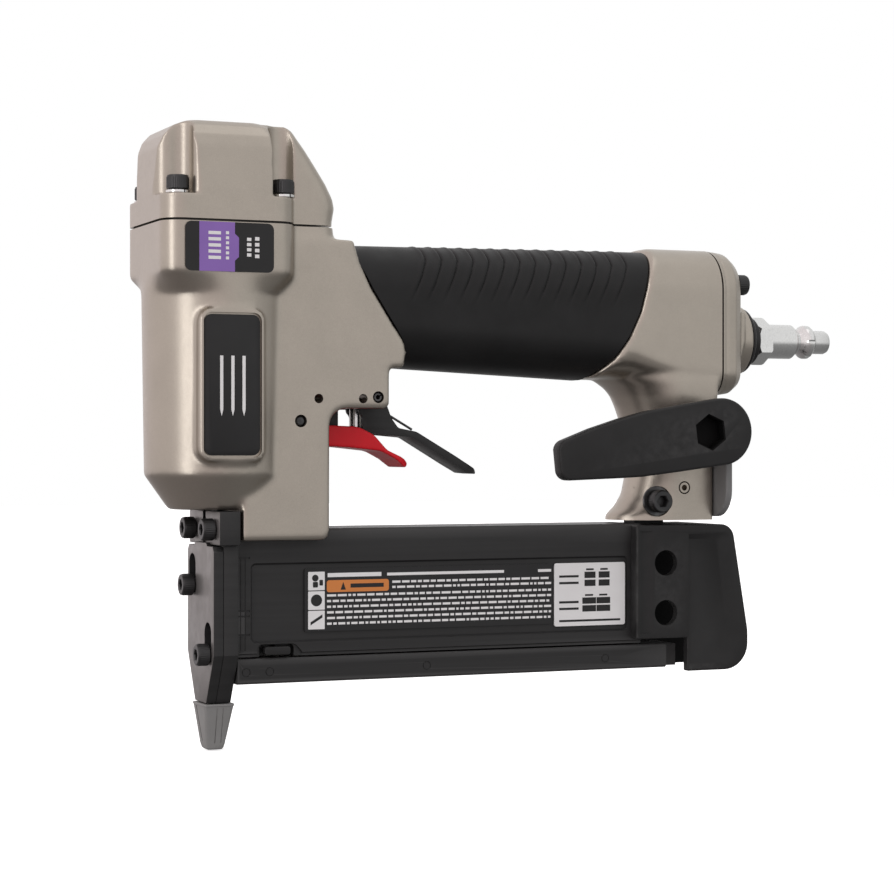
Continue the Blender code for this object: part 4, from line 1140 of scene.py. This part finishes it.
def make_lever():
    """Pressed steel lever: two cheeks and a curved finger bar."""
    outline = rounded(
        [
            (46.9, 113.3, 1.6),
            (46.9, 107.0, 2.0),
            (48.2, 105.6, 2.0),
            (48.2, 100.4, 1.6),
            (52.0, 100.0),
            (56.5, 99.6),
            (65.6, 98.8, 3.0),
            (85.6, 87.1, 1.0),
            (89.3, 86.7, 0.5),
            (88.2, 88.5, 1.0),
            (67.0, 100.7, 5.0),
            (60.6, 101.9, 2.2),
            (58.2, 105.1, 2.0),
            (55.1, 113.3, 2.0),
        ],
        10,
    )
    body = prism("lever_body", "Y", outline, -6.2, 6.2)
    plan = [(30.0, -6.3), (80.0, -6.3), (89.6, -5.0, 3.6), (89.6, 5.0, 3.6), (80.0, 6.3), (30.0, 6.3)]
    combine(body, prism("plan", "Z", rounded(plan, 8), 80.0, 120.0), "INTERSECT")
    between = [(40.0, 90.0), (60.5, 90.0), (60.5, 100.6), (60.4, 120.0), (40.0, 120.0)]
    cut(body, prism("between", "Y", between, -4.8, 4.8))
    bevel(body, 0.3, 2, 35)
    cut(body, rod("pivot_hole", "Y", 1.75, -20.0, 20.0, LEVER_AXIS, 32))
    body.name = "lever_pressed"
    shade(body, 30)
    return finish_piece(body, "black_metal", "safety_lever", "safety_lever")


def coil(name, axis, centre, radius, wire, low, high, turns, sides=8, per_turn=20):
    """Wire wound round an axis, as a tube along a helix."""
    count = int(turns * per_turn)
    points = []
    for i in range(count + 1):
        angle = 2 * math.pi * turns * i / count
        along = low + wire + (high - low - 2 * wire) * i / count
        first = centre[0] + radius * math.cos(angle)
        second = centre[1] + radius * math.sin(angle)
        points.append(place(axis, first, second, along))
    return tube(name, points, wire, sides)


def tube(name, points, wire, sides=8):
    """Sweep a small circle along points in millimetres."""
    mesh_data = bmesh.new()
    rings = []
    previous = None
    for i, point in enumerate(points):
        ahead = points[min(i + 1, len(points) - 1)] - points[max(i - 1, 0)]
        ahead.normalize()
        if previous is None:
            previous = ahead.orthogonal().normalized()
        side = (previous - ahead * previous.dot(ahead)).normalized()
        previous = side
        up = ahead.cross(side)
        ring = []
        for k in range(sides):
            angle = 2 * math.pi * k / sides
            ring.append(mesh_data.verts.new(point + (side * math.cos(angle) + up * math.sin(angle)) * wire))
        rings.append(ring)
    for lower, upper in zip(rings, rings[1:]):
        for k in range(sides):
            m = (k + 1) % sides
            mesh_data.faces.new((lower[k], lower[m], upper[m], upper[k]))
    mesh_data.faces.new(rings[0])
    mesh_data.faces.new(rings[-1])
    return finish_mesh(name, mesh_data, 60)


def make_springs():
    """Wound wire in the place of the CAD's plain rings."""
    spring = coil("lever_coil", "Y", LEVER_AXIS, 2.35, 0.38, -4.45, -2.75, 2.1)
    leg = [Vector((51.3, -4.0, 110.0)), Vector((58.0, -4.0, 106.1)), Vector((66.2, -4.0, 101.4))]
    gathered = gather("lever_spring_wire", spring, tube("leg", leg, 0.4))
    finish_piece(shade(gathered, 60), "dark_steel", "safety_lever", "lever_spring")
    head = coil("head_spring_wire", "Z", (0.0, 0.0), 10.4, 0.9, 163.3, 182.6, 6.0, 8, 32)
    finish_piece(head, "bright_steel", "body", "head_valve_spring")
    valve = coil("valve_spring_wire", "Z", (STEM_X, 0.0), 1.55, 0.3, 119.9, 127.4, 6.0)
    finish_piece(valve, "bright_steel", "body", "valve_spring")


# ---------------------------------------------------------------- belt hook
HOOK_HEX = (162.2, 100.6)


def make_hook():
    """Paddle-shaped hook with a hexagon socket and its strap behind the bracket; the strap is painted
    lighter grey as painted light and the socket's inside near-black as painted shade.
    """
    outline = [
        *arc((167.0, 100.8), 11.2, -76.0, 102.0, 32),
        (153.3, 110.0),
        (139.0, 107.5),
        (129.3, 105.0),
        (118.6, 101.7),
        *arc((110.1, 94.4), 3.8, 112.0, 174.0, 8),
        *arc((110.6, 88.4), 3.6, 190.0, 266.0, 8),
        (129.3, 85.5),
        (136.9, 85.9),
        (150.0, 87.4),
    ]
    hook = prism("paddle", "Y", outline, -32.0, -26.4)
    bevel(hook, 0.9, 4)
    strap_outline = rounded(
        [
            (-21.5, 72.0, 9.0),
            (9.0, 72.0, 6.0),
            (9.0, 108.0, 6.0),
            (-27.2, 108.0, 3.0),
            (-27.2, 95.0, 2.0),
            (-21.5, 91.5, 2.0),
        ],
        8,
    )
    strap = prism("strap", "X", strap_outline, BRACKET_REAR + 0.3, BRACKET_REAR + 2.8)
    bevel(strap, 0.5, 3)
    join(hook, strap)
    cut(hook, rod("hook_screw_hole", "X", 2.3, 168.0, 182.0, (0.0, 92.0), 40))
    turn = math.radians(37.0)
    cut(hook, prism("hook_hex", "Y", circle(5.8, HOOK_HEX, 6, turn), -40.0, -27.4))
    rim = [(-33.0, circle(7.2, HOOK_HEX, 6, turn)), (-31.5, circle(5.7, HOOK_HEX, 6, turn))]
    cut(hook, loft("hex_rim", "Y", rim))
    hook.name = "hook_moulded"
    shade(hook, 30)
    finish_piece(hook, "black_plastic", "body", "belt_hook")
    # The strap's faces get the lighter grey: painted light for the lamp on its forward face.
    hook.data.materials.append(LOOKS["strap_painted_light"])
    # The hexagon socket's inside walls get near-black: painted shade in the hole.
    hook.data.materials.append(LOOKS["hole_painted_shade"])
    for face in hook.data.polygons:
        place_y = face.center.y / MM
        if place_y > -24.6:
            face.material_index = 1
        off_hole = Vector((face.center.x, face.center.z)) / MM - Vector(HOOK_HEX)
        if -31.9 < place_y < -27.0 and off_hole.length < 5.9:
            face.material_index = 2
    return hook


# ---------------------------------------------------------------- nose
LOWER_SCREWS = [(7.7, 51.8), (-8.8, 30.7)]


def paint_front_light(piece, look, reach):
    """Give a piece's forward faces, up to that X, a second material, used for painted light on faces that
    the lamp falls on.
    """
    piece.data.materials.append(LOOKS[look])
    for face in piece.data.polygons:
        if face.normal.x < -0.9 and face.center.x < reach * MM:
            face.material_index = 1


def nose_outline(half_low, half_high, low, taper_top, high):
    """Front view of the nose: straight sides that taper to the tip."""
    return [
        (-half_low, low),
        (half_low, low),
        (half_high, taper_top),
        (half_high, high),
        (-half_high, high),
        (-half_high, taper_top),
    ]


def keyhole(y, z):
    """Slot above a lower nose screw, wide enough for its head to lift out."""
    low, high = y - 2.6, y + 4.4
    return rounded([(low, z - 2.4), (high, z - 2.4), (high, z + 10.0, 3.4), (low, z + 10.0, 3.4)], 10)


def make_nose():
    """Front plate with keyhole slots and notched shoulders, and the guide behind it, their forward faces
    painted lighter grey as painted light.
    """
    outline = [
        (-5.8, 15.0),
        (5.8, 15.0),
        (13.9, 30.5),
        (13.9, 62.9, 0.8),
        (12.6, 64.6, 0.8),
        (6.9, 64.6, 0.5),
        (5.9, 65.6, 0.6),
        (-5.9, 65.6, 0.6),
        (-6.9, 64.6, 0.5),
        (-12.6, 64.6, 0.8),
        (-13.9, 62.9, 0.8),
        (-13.9, 30.5),
    ]
    plate = prism("front_plate", "X", rounded(outline, 4), -4.5, -1.25)
    bevel(plate, 0.28, 2, 30)
    for i, (y, z) in enumerate(LOWER_SCREWS):
        cut(plate, prism(f"keyhole_{i}", "X", keyhole(y, z), -10.0, 5.0))
    finish_piece(shade(plate, 24), "black_metal", "body", "nose_plate")
    # Forward faces painted lighter grey: painted light where the lamp falls on the plate's front.
    paint_front_light(plate, "nose_front_painted_light", -4.0)
    guide = prism("guide", "X", nose_outline(5.8, 13.9, 15.0, 30.5, 65.2), -1.2, 3.7)
    bevel(guide, 0.3, 2, 30)
    flange = prism("flange", "X", box_outline(-16.0, 16.0, 65.0, 75.6), -3.2, 3.7)
    bevel(flange, 0.35, 2, 30)
    join(guide, flange, prism("nib", "Z", box_outline(-0.95, 2.6, -3.0, 3.0), 3.0, 16.0))
    cut(guide, prism("blade_channel", "Z", box_outline(-5.0, 0.95, -1.5, 1.5), 0.0, 80.0))
    cut(guide, rod("shank_channel", "Z", 3.2, 66.0, 80.0, (0, 0)))
    cut(guide, prism("nail_gate", "X", box_outline(-0.7, 0.7, 20.0, 62.0), -1.0, 8.0))
    for i, centre in enumerate([(-10.2, 69.9), (10.2, 69.9), *LOWER_SCREWS]):
        cut(guide, rod(f"guide_hole_{i}", "X", 2.3, -5.0, 3.0 if i > 1 else 10.0, centre))
    guide.name = "guide_machined"
    finish_piece(shade(guide, 24), "black_metal", "body", "driver_guide")
    # Forward faces painted lighter grey: painted light where the lamp falls on the guide's front.
    paint_front_light(guide, "nose_front_painted_light", -2.9)


def make_tip():
    """Soft tip: a tapered boot with a lip, a slit in front and a ridge on each side."""
    rings = [
        (0.0, box_outline(-2.7, 1.9, -2.7, 2.7, 0.6, 5)),
        (0.5, box_outline(-3.3, 2.3, -3.2, 3.2, 0.9, 5)),
        (2.0, box_outline(-3.7, 2.7, -3.6, 3.6, 0.9, 5)),
        (13.9, box_outline(-5.0, 4.6, -6.4, 6.4, 0.9, 5)),
        (14.1, box_outline(-5.2, 4.8, -6.6, 6.6, 0.9, 5)),
        (14.6, box_outline(-5.2, 4.8, -6.6, 6.6, 0.9, 5)),
        (14.7, box_outline(-5.1, 4.7, -6.5, 6.5, 0.8, 5)),
    ]
    tip = loft("soft_tip", "Z", rings)
    cut(tip, prism("tip_room", "Z", box_outline(-1.4, 2.95, -3.35, 3.35), 2.6, 20.0))
    cut(tip, prism("tip_mouth", "Z", box_outline(-3.9, 3.6, -5.0, 5.0, 0.5), 14.2, 20.0))
    cut(tip, prism("tip_exit", "Z", box_outline(-0.8, 0.9, -1.4, 1.4), -2.0, 4.0))
    slit = [(-0.2, 2.6), (0.6, 2.6), (3.3, 13.7), (2.5, 13.7)]
    cut(tip, prism("tip_slit", "X", slit, -6.0, -3.2))
    for side in (-1, 1):
        foot, head, out = side * 3.35, side * 6.15, side * 3.0
        groove = [(foot, 2.2), (foot + out, 2.2), (head + out, 13.4), (head, 13.4)]
        for x in (-0.9, 1.1):
            cut(tip, prism("side_groove", "X", groove, x - 0.14, x + 0.14))
    return finish_piece(shade(tip, 30), "tip_plastic", "nose_tip", "no_mar_tip")


# ---------------------------------------------------------------- magazine
MAG_SIDE = 11.6
MAG_LOW = 29.6
MAG_X = (4.2, 146.8)


def magazine_outline():
    """Cross-section of the extrusion: stepped sides, T slot and a relieved top."""
    right = [
        (3.5, MAG_LOW),
        (MAG_SIDE - 0.7, MAG_LOW),
        (MAG_SIDE - 0.7, 30.4),
        (MAG_SIDE, 30.7),
        (MAG_SIDE, 69.0),
        (MAG_SIDE - 0.8, 69.8),
    ]
    left = [(-u, v) for u, v in reversed(right[1:])]
    inside = [
        (-0.8, MAG_LOW),
        (-0.8, 61.4),
        (-6.0, 61.4),
        (-6.0, 66.8),
        (6.0, 66.8),
        (6.0, 61.4),
        (3.5, 61.4),
    ]
    return right + left + inside


def make_magazine():
    """Magazine extrusion: panel recess with a raised border, front ribs and latch recess."""
    body = prism("magazine_body", "X", magazine_outline(), *MAG_X)
    side = -MAG_SIDE
    panel = [
        (side - 1.0, box_outline(7.7, 142.0, 33.2, 59.8, 2.0)),
        (side + 0.9, box_outline(9.0, 141.5, 34.5, 58.5, 1.2)),
    ]
    cut(body, loft("panel", "Y", panel))
    for z in (60.5, 43.9, 42.2, 36.4):
        cut(body, prism("rib_groove", "Y", box_outline(4.0, 8.1, z, z + 0.55), side - 1.0, side + 0.35))
    for x in (4.9, 6.4):
        cut(body, prism("end_groove", "Y", box_outline(x, x + 0.25, 31.6, 60.4), side - 1.0, side + 0.2))
    ramp = [(10.5, 28.0), (25.5, 28.0), (25.5, 31.0, 1.5), (23.0, 33.6, 2.5), (10.5, 33.6, 1.6)]
    cut(body, prism("latch_ramp", "Y", rounded(ramp), side - 1.0, side + 0.9))
    cut(body, prism("latch_recess", "Y", box_outline(11.4, 23.0, 28.0, 33.4, 1.2), side - 1.0, side + 4.6))
    cut(body, rod("latch_spring_bore", "Y", 1.5, side, side + 8.0, (17.1, 31.4)))
    return finish_piece(shade(body, 24), "black_metal", "body", "magazine_housing")


def make_track():
    """Sliding rail with rounded lower edges and the heads of its pins."""
    outline = [
        (-10.6, 21.0),
        (10.6, 21.0),
        (11.3, 21.7),
        (11.3, 28.6),
        (10.9, 29.0),
        (3.1, 29.0),
        (3.1, 61.0),
        (0.75, 61.0),
        (0.75, 23.8),
        (-0.65, 23.8),
        (-0.65, 29.0),
        (-10.9, 29.0),
        (-11.3, 28.6),
        (-11.3, 21.7),
    ]
    track = prism("track_rail", "X", outline, MAG_X[0], 156.6)
    join(track, prism("tongue", "X", box_outline(-8.0, 8.0, 21.3, 28.6), 155.6, 161.9))
    for x in (7.0, 14.8, 68.5, 133.4):
        for side in (-1, 1):
            low, high = sorted((side * 11.05, side * 12.0))
            ring = [(1.15, low), (1.15, high), (1.4, high), (1.4, low)]
            cut(track, turned("pin_ring", "Y", ring, (x, 24.8), 32))
    return finish_piece(shade(track, 24), "black_metal", "magazine_track", "magazine_track")


def make_latch():
    """Latch button with rounded edges."""
    button = prism("latch_button", "Y", box_outline(12.9, 21.4, 30.1, 32.7, 0.8), -12.5, -9.4)
    bevel(button, 0.3, 3)
    return finish_piece(button, "black_plastic", "track_latch", "track_latch")


SHELL_ROOM_HALF_Y = 13.2


def make_end_housing():
    """Moulded shell on the magazine's rear end, with its inset panels and side holes."""
    outline = rounded(
        [
            (142.9, 31.2),
            (162.3, 31.2),
            (162.3, 19.8, 0.6),
            (185.9, 19.8, 9.0),
            (185.9, 33.0, 20.0),
            (179.8, 69.4, 5.0),
            (142.9, 69.4),
        ],
        12,
    )
    shell = prism("end_shell", "Y", outline, -16.0, 16.0)
    bevel(shell, 1.6, 5, 30)
    room = box_outline(-SHELL_ROOM_HALF_Y, SHELL_ROOM_HALF_Y, 10.0, 66.9)
    cut(shell, prism("shell_room", "X", room, 147.0, 200.0))
    cut(shell, prism("shell_mouth", "X", box_outline(-11.9, 11.9, 10.0, 80.0), 130.0, 147.1))
    join(shell, prism("tab", "Y", box_outline(148.4, 159.4, 67.6, 81.6, 1.0), -4.0, 4.0))
    cut(shell, rod("tab_hole", "Y", 2.8, -10.0, 10.0, MAGAZINE_BOLT, 40))
    for side in (-1, 1):
        add_side_details(shell, side)
    for i, z in enumerate((56.6, 39.8)):
        cut(shell, rod(f"side_hole_{i}", "Y", 4.3, -20.0, 20.0, (154.0, z), 64))
    finish_piece(shade(shell, 26), "black_plastic", "body", "magazine_end_housing")
    # The walls of the room inside the shell get near-black: painted shade in the hollow behind the side
    # holes.
    shell.data.materials.append(LOOKS["hole_painted_shade"])
    for face in shell.data.polygons:
        if abs(abs(face.center.y) / MM - SHELL_ROOM_HALF_Y) < 0.1:
            face.material_index = 1
    return shell


def add_side_details(shell, side):
    """Cut one side's inset panel and the hollow band behind the front rib."""
    floor = [(163.1, 25.0), (174.0, 25.0, 5.0), (178.0, 31.0, 4.0), (174.6, 64.5, 1.5), (163.1, 64.5)]
    mouth = [(162.7, 22.6), (177.5, 22.6, 6.0), (182.6, 30.0, 5.0), (178.2, 66.4, 2.0), (162.7, 66.4)]
    rings = [(15.1, rounded(floor)), (16.05, rounded(mouth)), (17.0, rounded(mouth))]
    cut(shell, loft("inset", "Y", [(side * y, outline) for y, outline in rings]))
    band = []
    for i in range(13):
        share = i / 12
        band.append((143.8 + 5.4 * share, side * (16.0 - 0.75 * math.sin(math.pi * share))))
    band += [(149.2, side * 17.0), (143.8, side * 17.0)]
    cut(shell, prism("band", "Z", band, 33.0, 67.4))


# ---------------------------------------------------------------- labels
def inlays(name, shapes, face, proud, look, slot=None):
    """Print-thin shapes on a near-side label, as one piece."""
    solids = [prism("inlay", "Y", shape, face - proud, face + 0.1) for shape in shapes]
    piece = gather(name, *solids)
    shade(piece)
    return finish_piece(piece, look, "body", slot=slot)


def text_bars(x_low, x_high, z, height, seed):
    """A row of plain bars of mixed length that stands for a line of print."""
    source = random.Random(seed)
    bars = []
    x = x_low
    while x < x_high:
        length = min(source.uniform(0.8, 3.2), x_high - x)
        if length > 0.5:
            bars.append(box_outline(x, x + length, z, z + height))
        x += length + 0.55
    return bars


def make_badge():
    """Badge on the barrel: a chamfered black plate with a plain pin mark."""
    low, high = low_high("badge_plate")
    rings = [
        (-22.2, box_outline(low[0], high[0], low[2], high[2], 2.5, 8)),
        (-22.75, box_outline(low[0], high[0], low[2], high[2], 2.5, 8)),
        (-23.1, box_outline(low[0] + 1.2, high[0] - 1.2, low[2] + 1.2, high[2] - 1.2, 1.6, 8)),
    ]
    finish_piece(shade(loft("badge", "Y", rings), 20), "label_black", "body", "badge_plate")
    centre = (low[0] + high[0]) / 2
    middle = (low[2] + high[2]) / 2
    pins = []
    for offset in (-3.6, 0.0, 3.6):
        x = centre + offset
        left, right = x - 0.5, x + 0.5
        foot, head = middle - 7.6, middle + 9.0
        pins.append([(left, head), (left, foot), (x, middle - 9.6), (right, foot), (right, head)])
    inlays("badge_mark", pins, -23.1, 0.08, "label_white")


def make_gauge_label():
    """Black label with a purple band, a small tab and plain bars."""
    bottom, top = 149.7, 164.9
    plate = prism("gauge_plate", "Y", box_outline(-16.5, 12.0, bottom, top, 2.0, 8), -23.6, -23.3)
    finish_piece(plate, "label_black", "body", "gauge_label", slot="label_purple")
    band = [
        (-12.1, bottom),
        (-0.7, bottom),
        (-0.7, 153.1),
        (0.6, 154.3),
        (0.6, 160.2),
        (-0.7, 161.4),
        (-0.7, top),
        (-12.1, top),
    ]
    inlays("gauge_band", [band], -23.6, 0.04, "label_purple")
    marks = []
    for i in range(5):
        marks.append(box_outline(-9.2, -5.2, 153.4 + i * 1.9, 154.4 + i * 1.9))
    for i in range(6):
        marks.append(box_outline(-3.6, -2.6, 153.4 + i * 1.55, 154.3 + i * 1.55))
    for i in range(4):
        marks.append(box_outline(3.2, 4.6, 154.5 + i * 1.6, 155.5 + i * 1.6))
        marks.append(box_outline(5.8, 7.2, 154.1 + i * 1.8, 155.2 + i * 1.8))
    inlays("gauge_marks", marks, -23.64, 0.04, "label_white")


def make_magazine_label():
    """Long black label: three white squares, an orange strip and rows of plain bars."""
    low, high = low_high("magazine_label")
    face = low[1]
    plate = prism("info_plate", "Y", box_outline(low[0], high[0], low[2], high[2], 0.8, 6), face, high[1])
    finish_piece(plate, "label_black", "body", "magazine_label")
    squares = [box_outline(27.6, 33.2, z, z + 5.9, 0.2, 2) for z in (37.7, 43.9, 50.1)]
    inlays("info_squares", squares, face, 0.04, "label_white")
    strip = [box_outline(33.9, 55.2, 49.4, 53.2, 0.8, 4)]
    inlays("info_strip", strip, face, 0.04, "label_orange", slot="label_white")
    rows = [
        box_outline(34.2, 52.6, 54.2, 55.5),
        box_outline(54.6, 96.0, 54.3, 55.2),
        box_outline(108.4, 113.2, 54.3, 55.2),
    ]
    inlays("info_heading", rows, face, 0.04, "label_white")
    bars = []
    for i, z in enumerate((51.9, 50.2, 48.0, 46.2, 44.4, 42.6, 40.8, 39.0)):
        bars += text_bars(56.4 if i < 2 else 34.0, 113.2, z, 0.72, i)
    inlays("info_rows", bars, face, 0.04, "label_white")
    dark = [
        circle(1.1, (30.0, 54.0), 16),
        box_outline(29.2, 30.9, 51.0, 52.8, 0.3, 2),
        box_outline(31.4, 32.6, 51.6, 53.4, 0.2, 2),
        circle(1.9, (30.4, 46.9), 20),
        [(28.4, 39.0), (32.4, 41.4), (32.4, 42.4), (28.4, 40.0)],
        [(38.6, 50.1), (40.4, 50.1), (39.5, 52.6)],
        box_outline(42.0, 53.4, 50.7, 52.0),
    ]
    inlays("info_signs", dark, face - 0.04, 0.03, "label_black")


def make_rating_label():
    """White label with grey boxes for values and plain bars for captions."""
    low, high = low_high("rating_label")
    face = low[1]
    plate = prism("rating_plate", "Y", box_outline(low[0], high[0], low[2], high[2], 0.8, 6), face, high[1])
    finish_piece(plate, "label_white", "body", "rating_label")
    boxes = []
    for x in (125.6, 130.9):
        for z in (51.9, 49.2):
            boxes.append(box_outline(x, x + 4.1, z, z + 2.1))
        for z in (43.3, 40.7):
            boxes.append(box_outline(x - 0.8, x + 4.3, z, z + 2.1))
        boxes.append(box_outline(x + 0.6, x + 3.4, 54.5, 55.1))
        boxes.append(box_outline(x + 0.2, x + 3.2, 45.9, 46.5))
    for z in (52.2, 50.0, 43.6, 41.4):
        boxes.append(box_outline(116.2, 123.4, z, z + 0.75))
    boxes.append(box_outline(116.2, 139.0, 37.4, 38.1))
    inlays("rating_boxes", boxes, face, 0.04, "label_black", slot="label_white")


# ---------------------------------------------------------------- studio and camera
VIEW_TURN = math.radians(23.2)
CAMERA_PLACE = (-0.22215, -0.70609, 0.0957)
CAMERA_LENS = 93.42
FLOOR_SIZE = 6.0
SURROUND_STRENGTH = 1.7
HEIGHT_STOPS = [
    (0.0, (0.14, 0.14, 0.14)),
    (0.33, (0.20, 0.20, 0.20)),
    (0.47, (0.55, 0.55, 0.55)),
    (0.5, (0.64, 0.64, 0.64)),
    (1.0, (0.62, 0.62, 0.62)),
]
SIDE_STOPS = [
    (0.0, (0.96, 0.90, 0.90)),
    (0.32, (0.90, 0.83, 0.84)),
    (0.8, (0.84, 0.84, 0.84)),
    (1.0, (0.55, 0.55, 0.55)),
]


def make_camera():
    """The camera of the main view, level with the trigger and turned towards the nose."""
    data = bpy.data.cameras.new("camera")
    data.lens = CAMERA_LENS
    data.clip_start = 0.01
    camera = bpy.data.objects.new("camera", data)
    camera.location = CAMERA_PLACE
    camera.rotation_euler = (math.pi / 2, 0.0, -VIEW_TURN)
    bpy.context.scene.collection.objects.link(camera)
    bpy.context.scene.camera = camera


def make_floor():
    """A plain pale floor under the nose tip."""
    mesh_data = bmesh.new()
    bmesh.ops.create_grid(mesh_data, x_segments=1, y_segments=1, size=FLOOR_SIZE / 2)
    mesh = bpy.data.meshes.new("floor")
    mesh_data.to_mesh(mesh)
    mesh_data.free()
    floor = bpy.data.objects.new("floor", mesh)
    floor.location = (0.08, 0.0, -0.0004)
    bpy.context.scene.collection.objects.link(floor)
    nodes = Nodes("floor_paint")
    color = nodes.blend(nodes.spread(nodes.noise(3.0), 0.0, 1.0), (0.86, 0.86, 0.86), (0.9, 0.9, 0.9))
    glow = {"Emission_Color": (1.0, 1.0, 1.0), "Emission_Strength": 0.62}
    floor.data.materials.append(nodes.plug(Base_Color=color, Roughness=0.9, **glow))
    floor.visible_glossy = False
    floor.visible_diffuse = False


def soft_light(name, toward, distance, width, height, power, color=(1.0, 1.0, 1.0)):
    """An area light that looks at the tool's middle from that direction."""
    data = bpy.data.lights.new(name, "AREA")
    data.shape = "RECTANGLE"
    data.size = width
    data.size_y = height
    data.energy = power
    data.color = color
    light = bpy.data.objects.new(name, data)
    middle = Vector((0.07, 0.0, 0.11))
    direction = Vector(toward).normalized()
    light.location = middle + direction * distance
    light.rotation_euler = direction.to_track_quat("Z", "Y").to_euler()
    bpy.context.scene.collection.objects.link(light)


def ramp_along(tree, axis, stops):
    """Return colours that follow one axis of the view direction, from -1 to 1."""
    place_node = tree.nodes.new("ShaderNodeTexCoord")
    split = tree.nodes.new("ShaderNodeSeparateXYZ")
    tree.links.new(place_node.outputs["Generated"], split.inputs["Vector"])
    share = tree.nodes.new("ShaderNodeMapRange")
    share.inputs["From Min"].default_value = -1.0
    tree.links.new(split.outputs[axis], share.inputs["Value"])
    ramp = tree.nodes.new("ShaderNodeValToRGB")
    ramp.color_ramp.interpolation = "EASE"
    while len(ramp.color_ramp.elements) < len(stops):
        ramp.color_ramp.elements.new(0.5)
    for element, (position, color) in zip(ramp.color_ramp.elements, stops):
        element.position = position
        element.color = (*color, 1.0)
    tree.links.new(share.outputs["Result"], ramp.inputs["Fac"])
    return ramp.outputs["Color"]


def make_world():
    """A soft surround, brighter above and on the left, and plain white where the camera sees it."""
    world = bpy.data.worlds.new("studio")
    bpy.context.scene.world = world
    world.use_nodes = True
    tree = world.node_tree
    surround = tree.nodes["Background"]
    by_height = ramp_along(tree, "Z", HEIGHT_STOPS)
    by_side = ramp_along(tree, "X", SIDE_STOPS)
    both = tree.nodes.new("ShaderNodeMix")
    both.data_type = "RGBA"
    both.blend_type = "MULTIPLY"
    both.inputs["Factor"].default_value = 1.0
    tree.links.new(by_height, both.inputs["A"])
    tree.links.new(by_side, both.inputs["B"])
    tree.links.new(both.outputs["Result"], surround.inputs["Color"])
    surround.inputs["Strength"].default_value = SURROUND_STRENGTH
    backdrop = tree.nodes.new("ShaderNodeBackground")
    path = tree.nodes.new("ShaderNodeLightPath")
    mix = tree.nodes.new("ShaderNodeMixShader")
    backdrop.inputs["Color"].default_value = (1.0, 1.0, 1.0, 1.0)
    tree.links.new(path.outputs["Is Camera Ray"], mix.inputs["Fac"])
    tree.links.new(surround.outputs["Background"], mix.inputs[1])
    tree.links.new(backdrop.outputs["Background"], mix.inputs[2])
    tree.links.new(mix.outputs["Shader"], tree.nodes["World Output"].inputs["Surface"])


def make_studio():
    """Floor, surround and lights."""
    bpy.context.scene.view_settings.view_transform = "Standard"
    make_floor()
    make_world()
    soft_light("key", (-0.893, -0.451, 0.12), 0.95, 0.30, 1.1, 2.2)
    soft_light("top", (0.1, -0.15, 1.0), 1.1, 0.8, 0.5, 0.5)


def main():
    """Dress the frame, add the detailed pieces and set up the studio."""
    dress_frame()
    make_housing()
    make_cap()
    make_grip()
    make_end_cap()
    make_bushing()
    make_plug()
    make_screws()
    make_washers()
    make_pins()
    make_trigger()
    make_lever()
    make_springs()
    make_hook()
    make_nose()
    make_tip()
    make_magazine()
    make_track()
    make_latch()
    make_end_housing()
    make_badge()
    make_gauge_label()
    make_magazine_label()
    make_rating_label()
    make_camera()
    make_studio()


main()
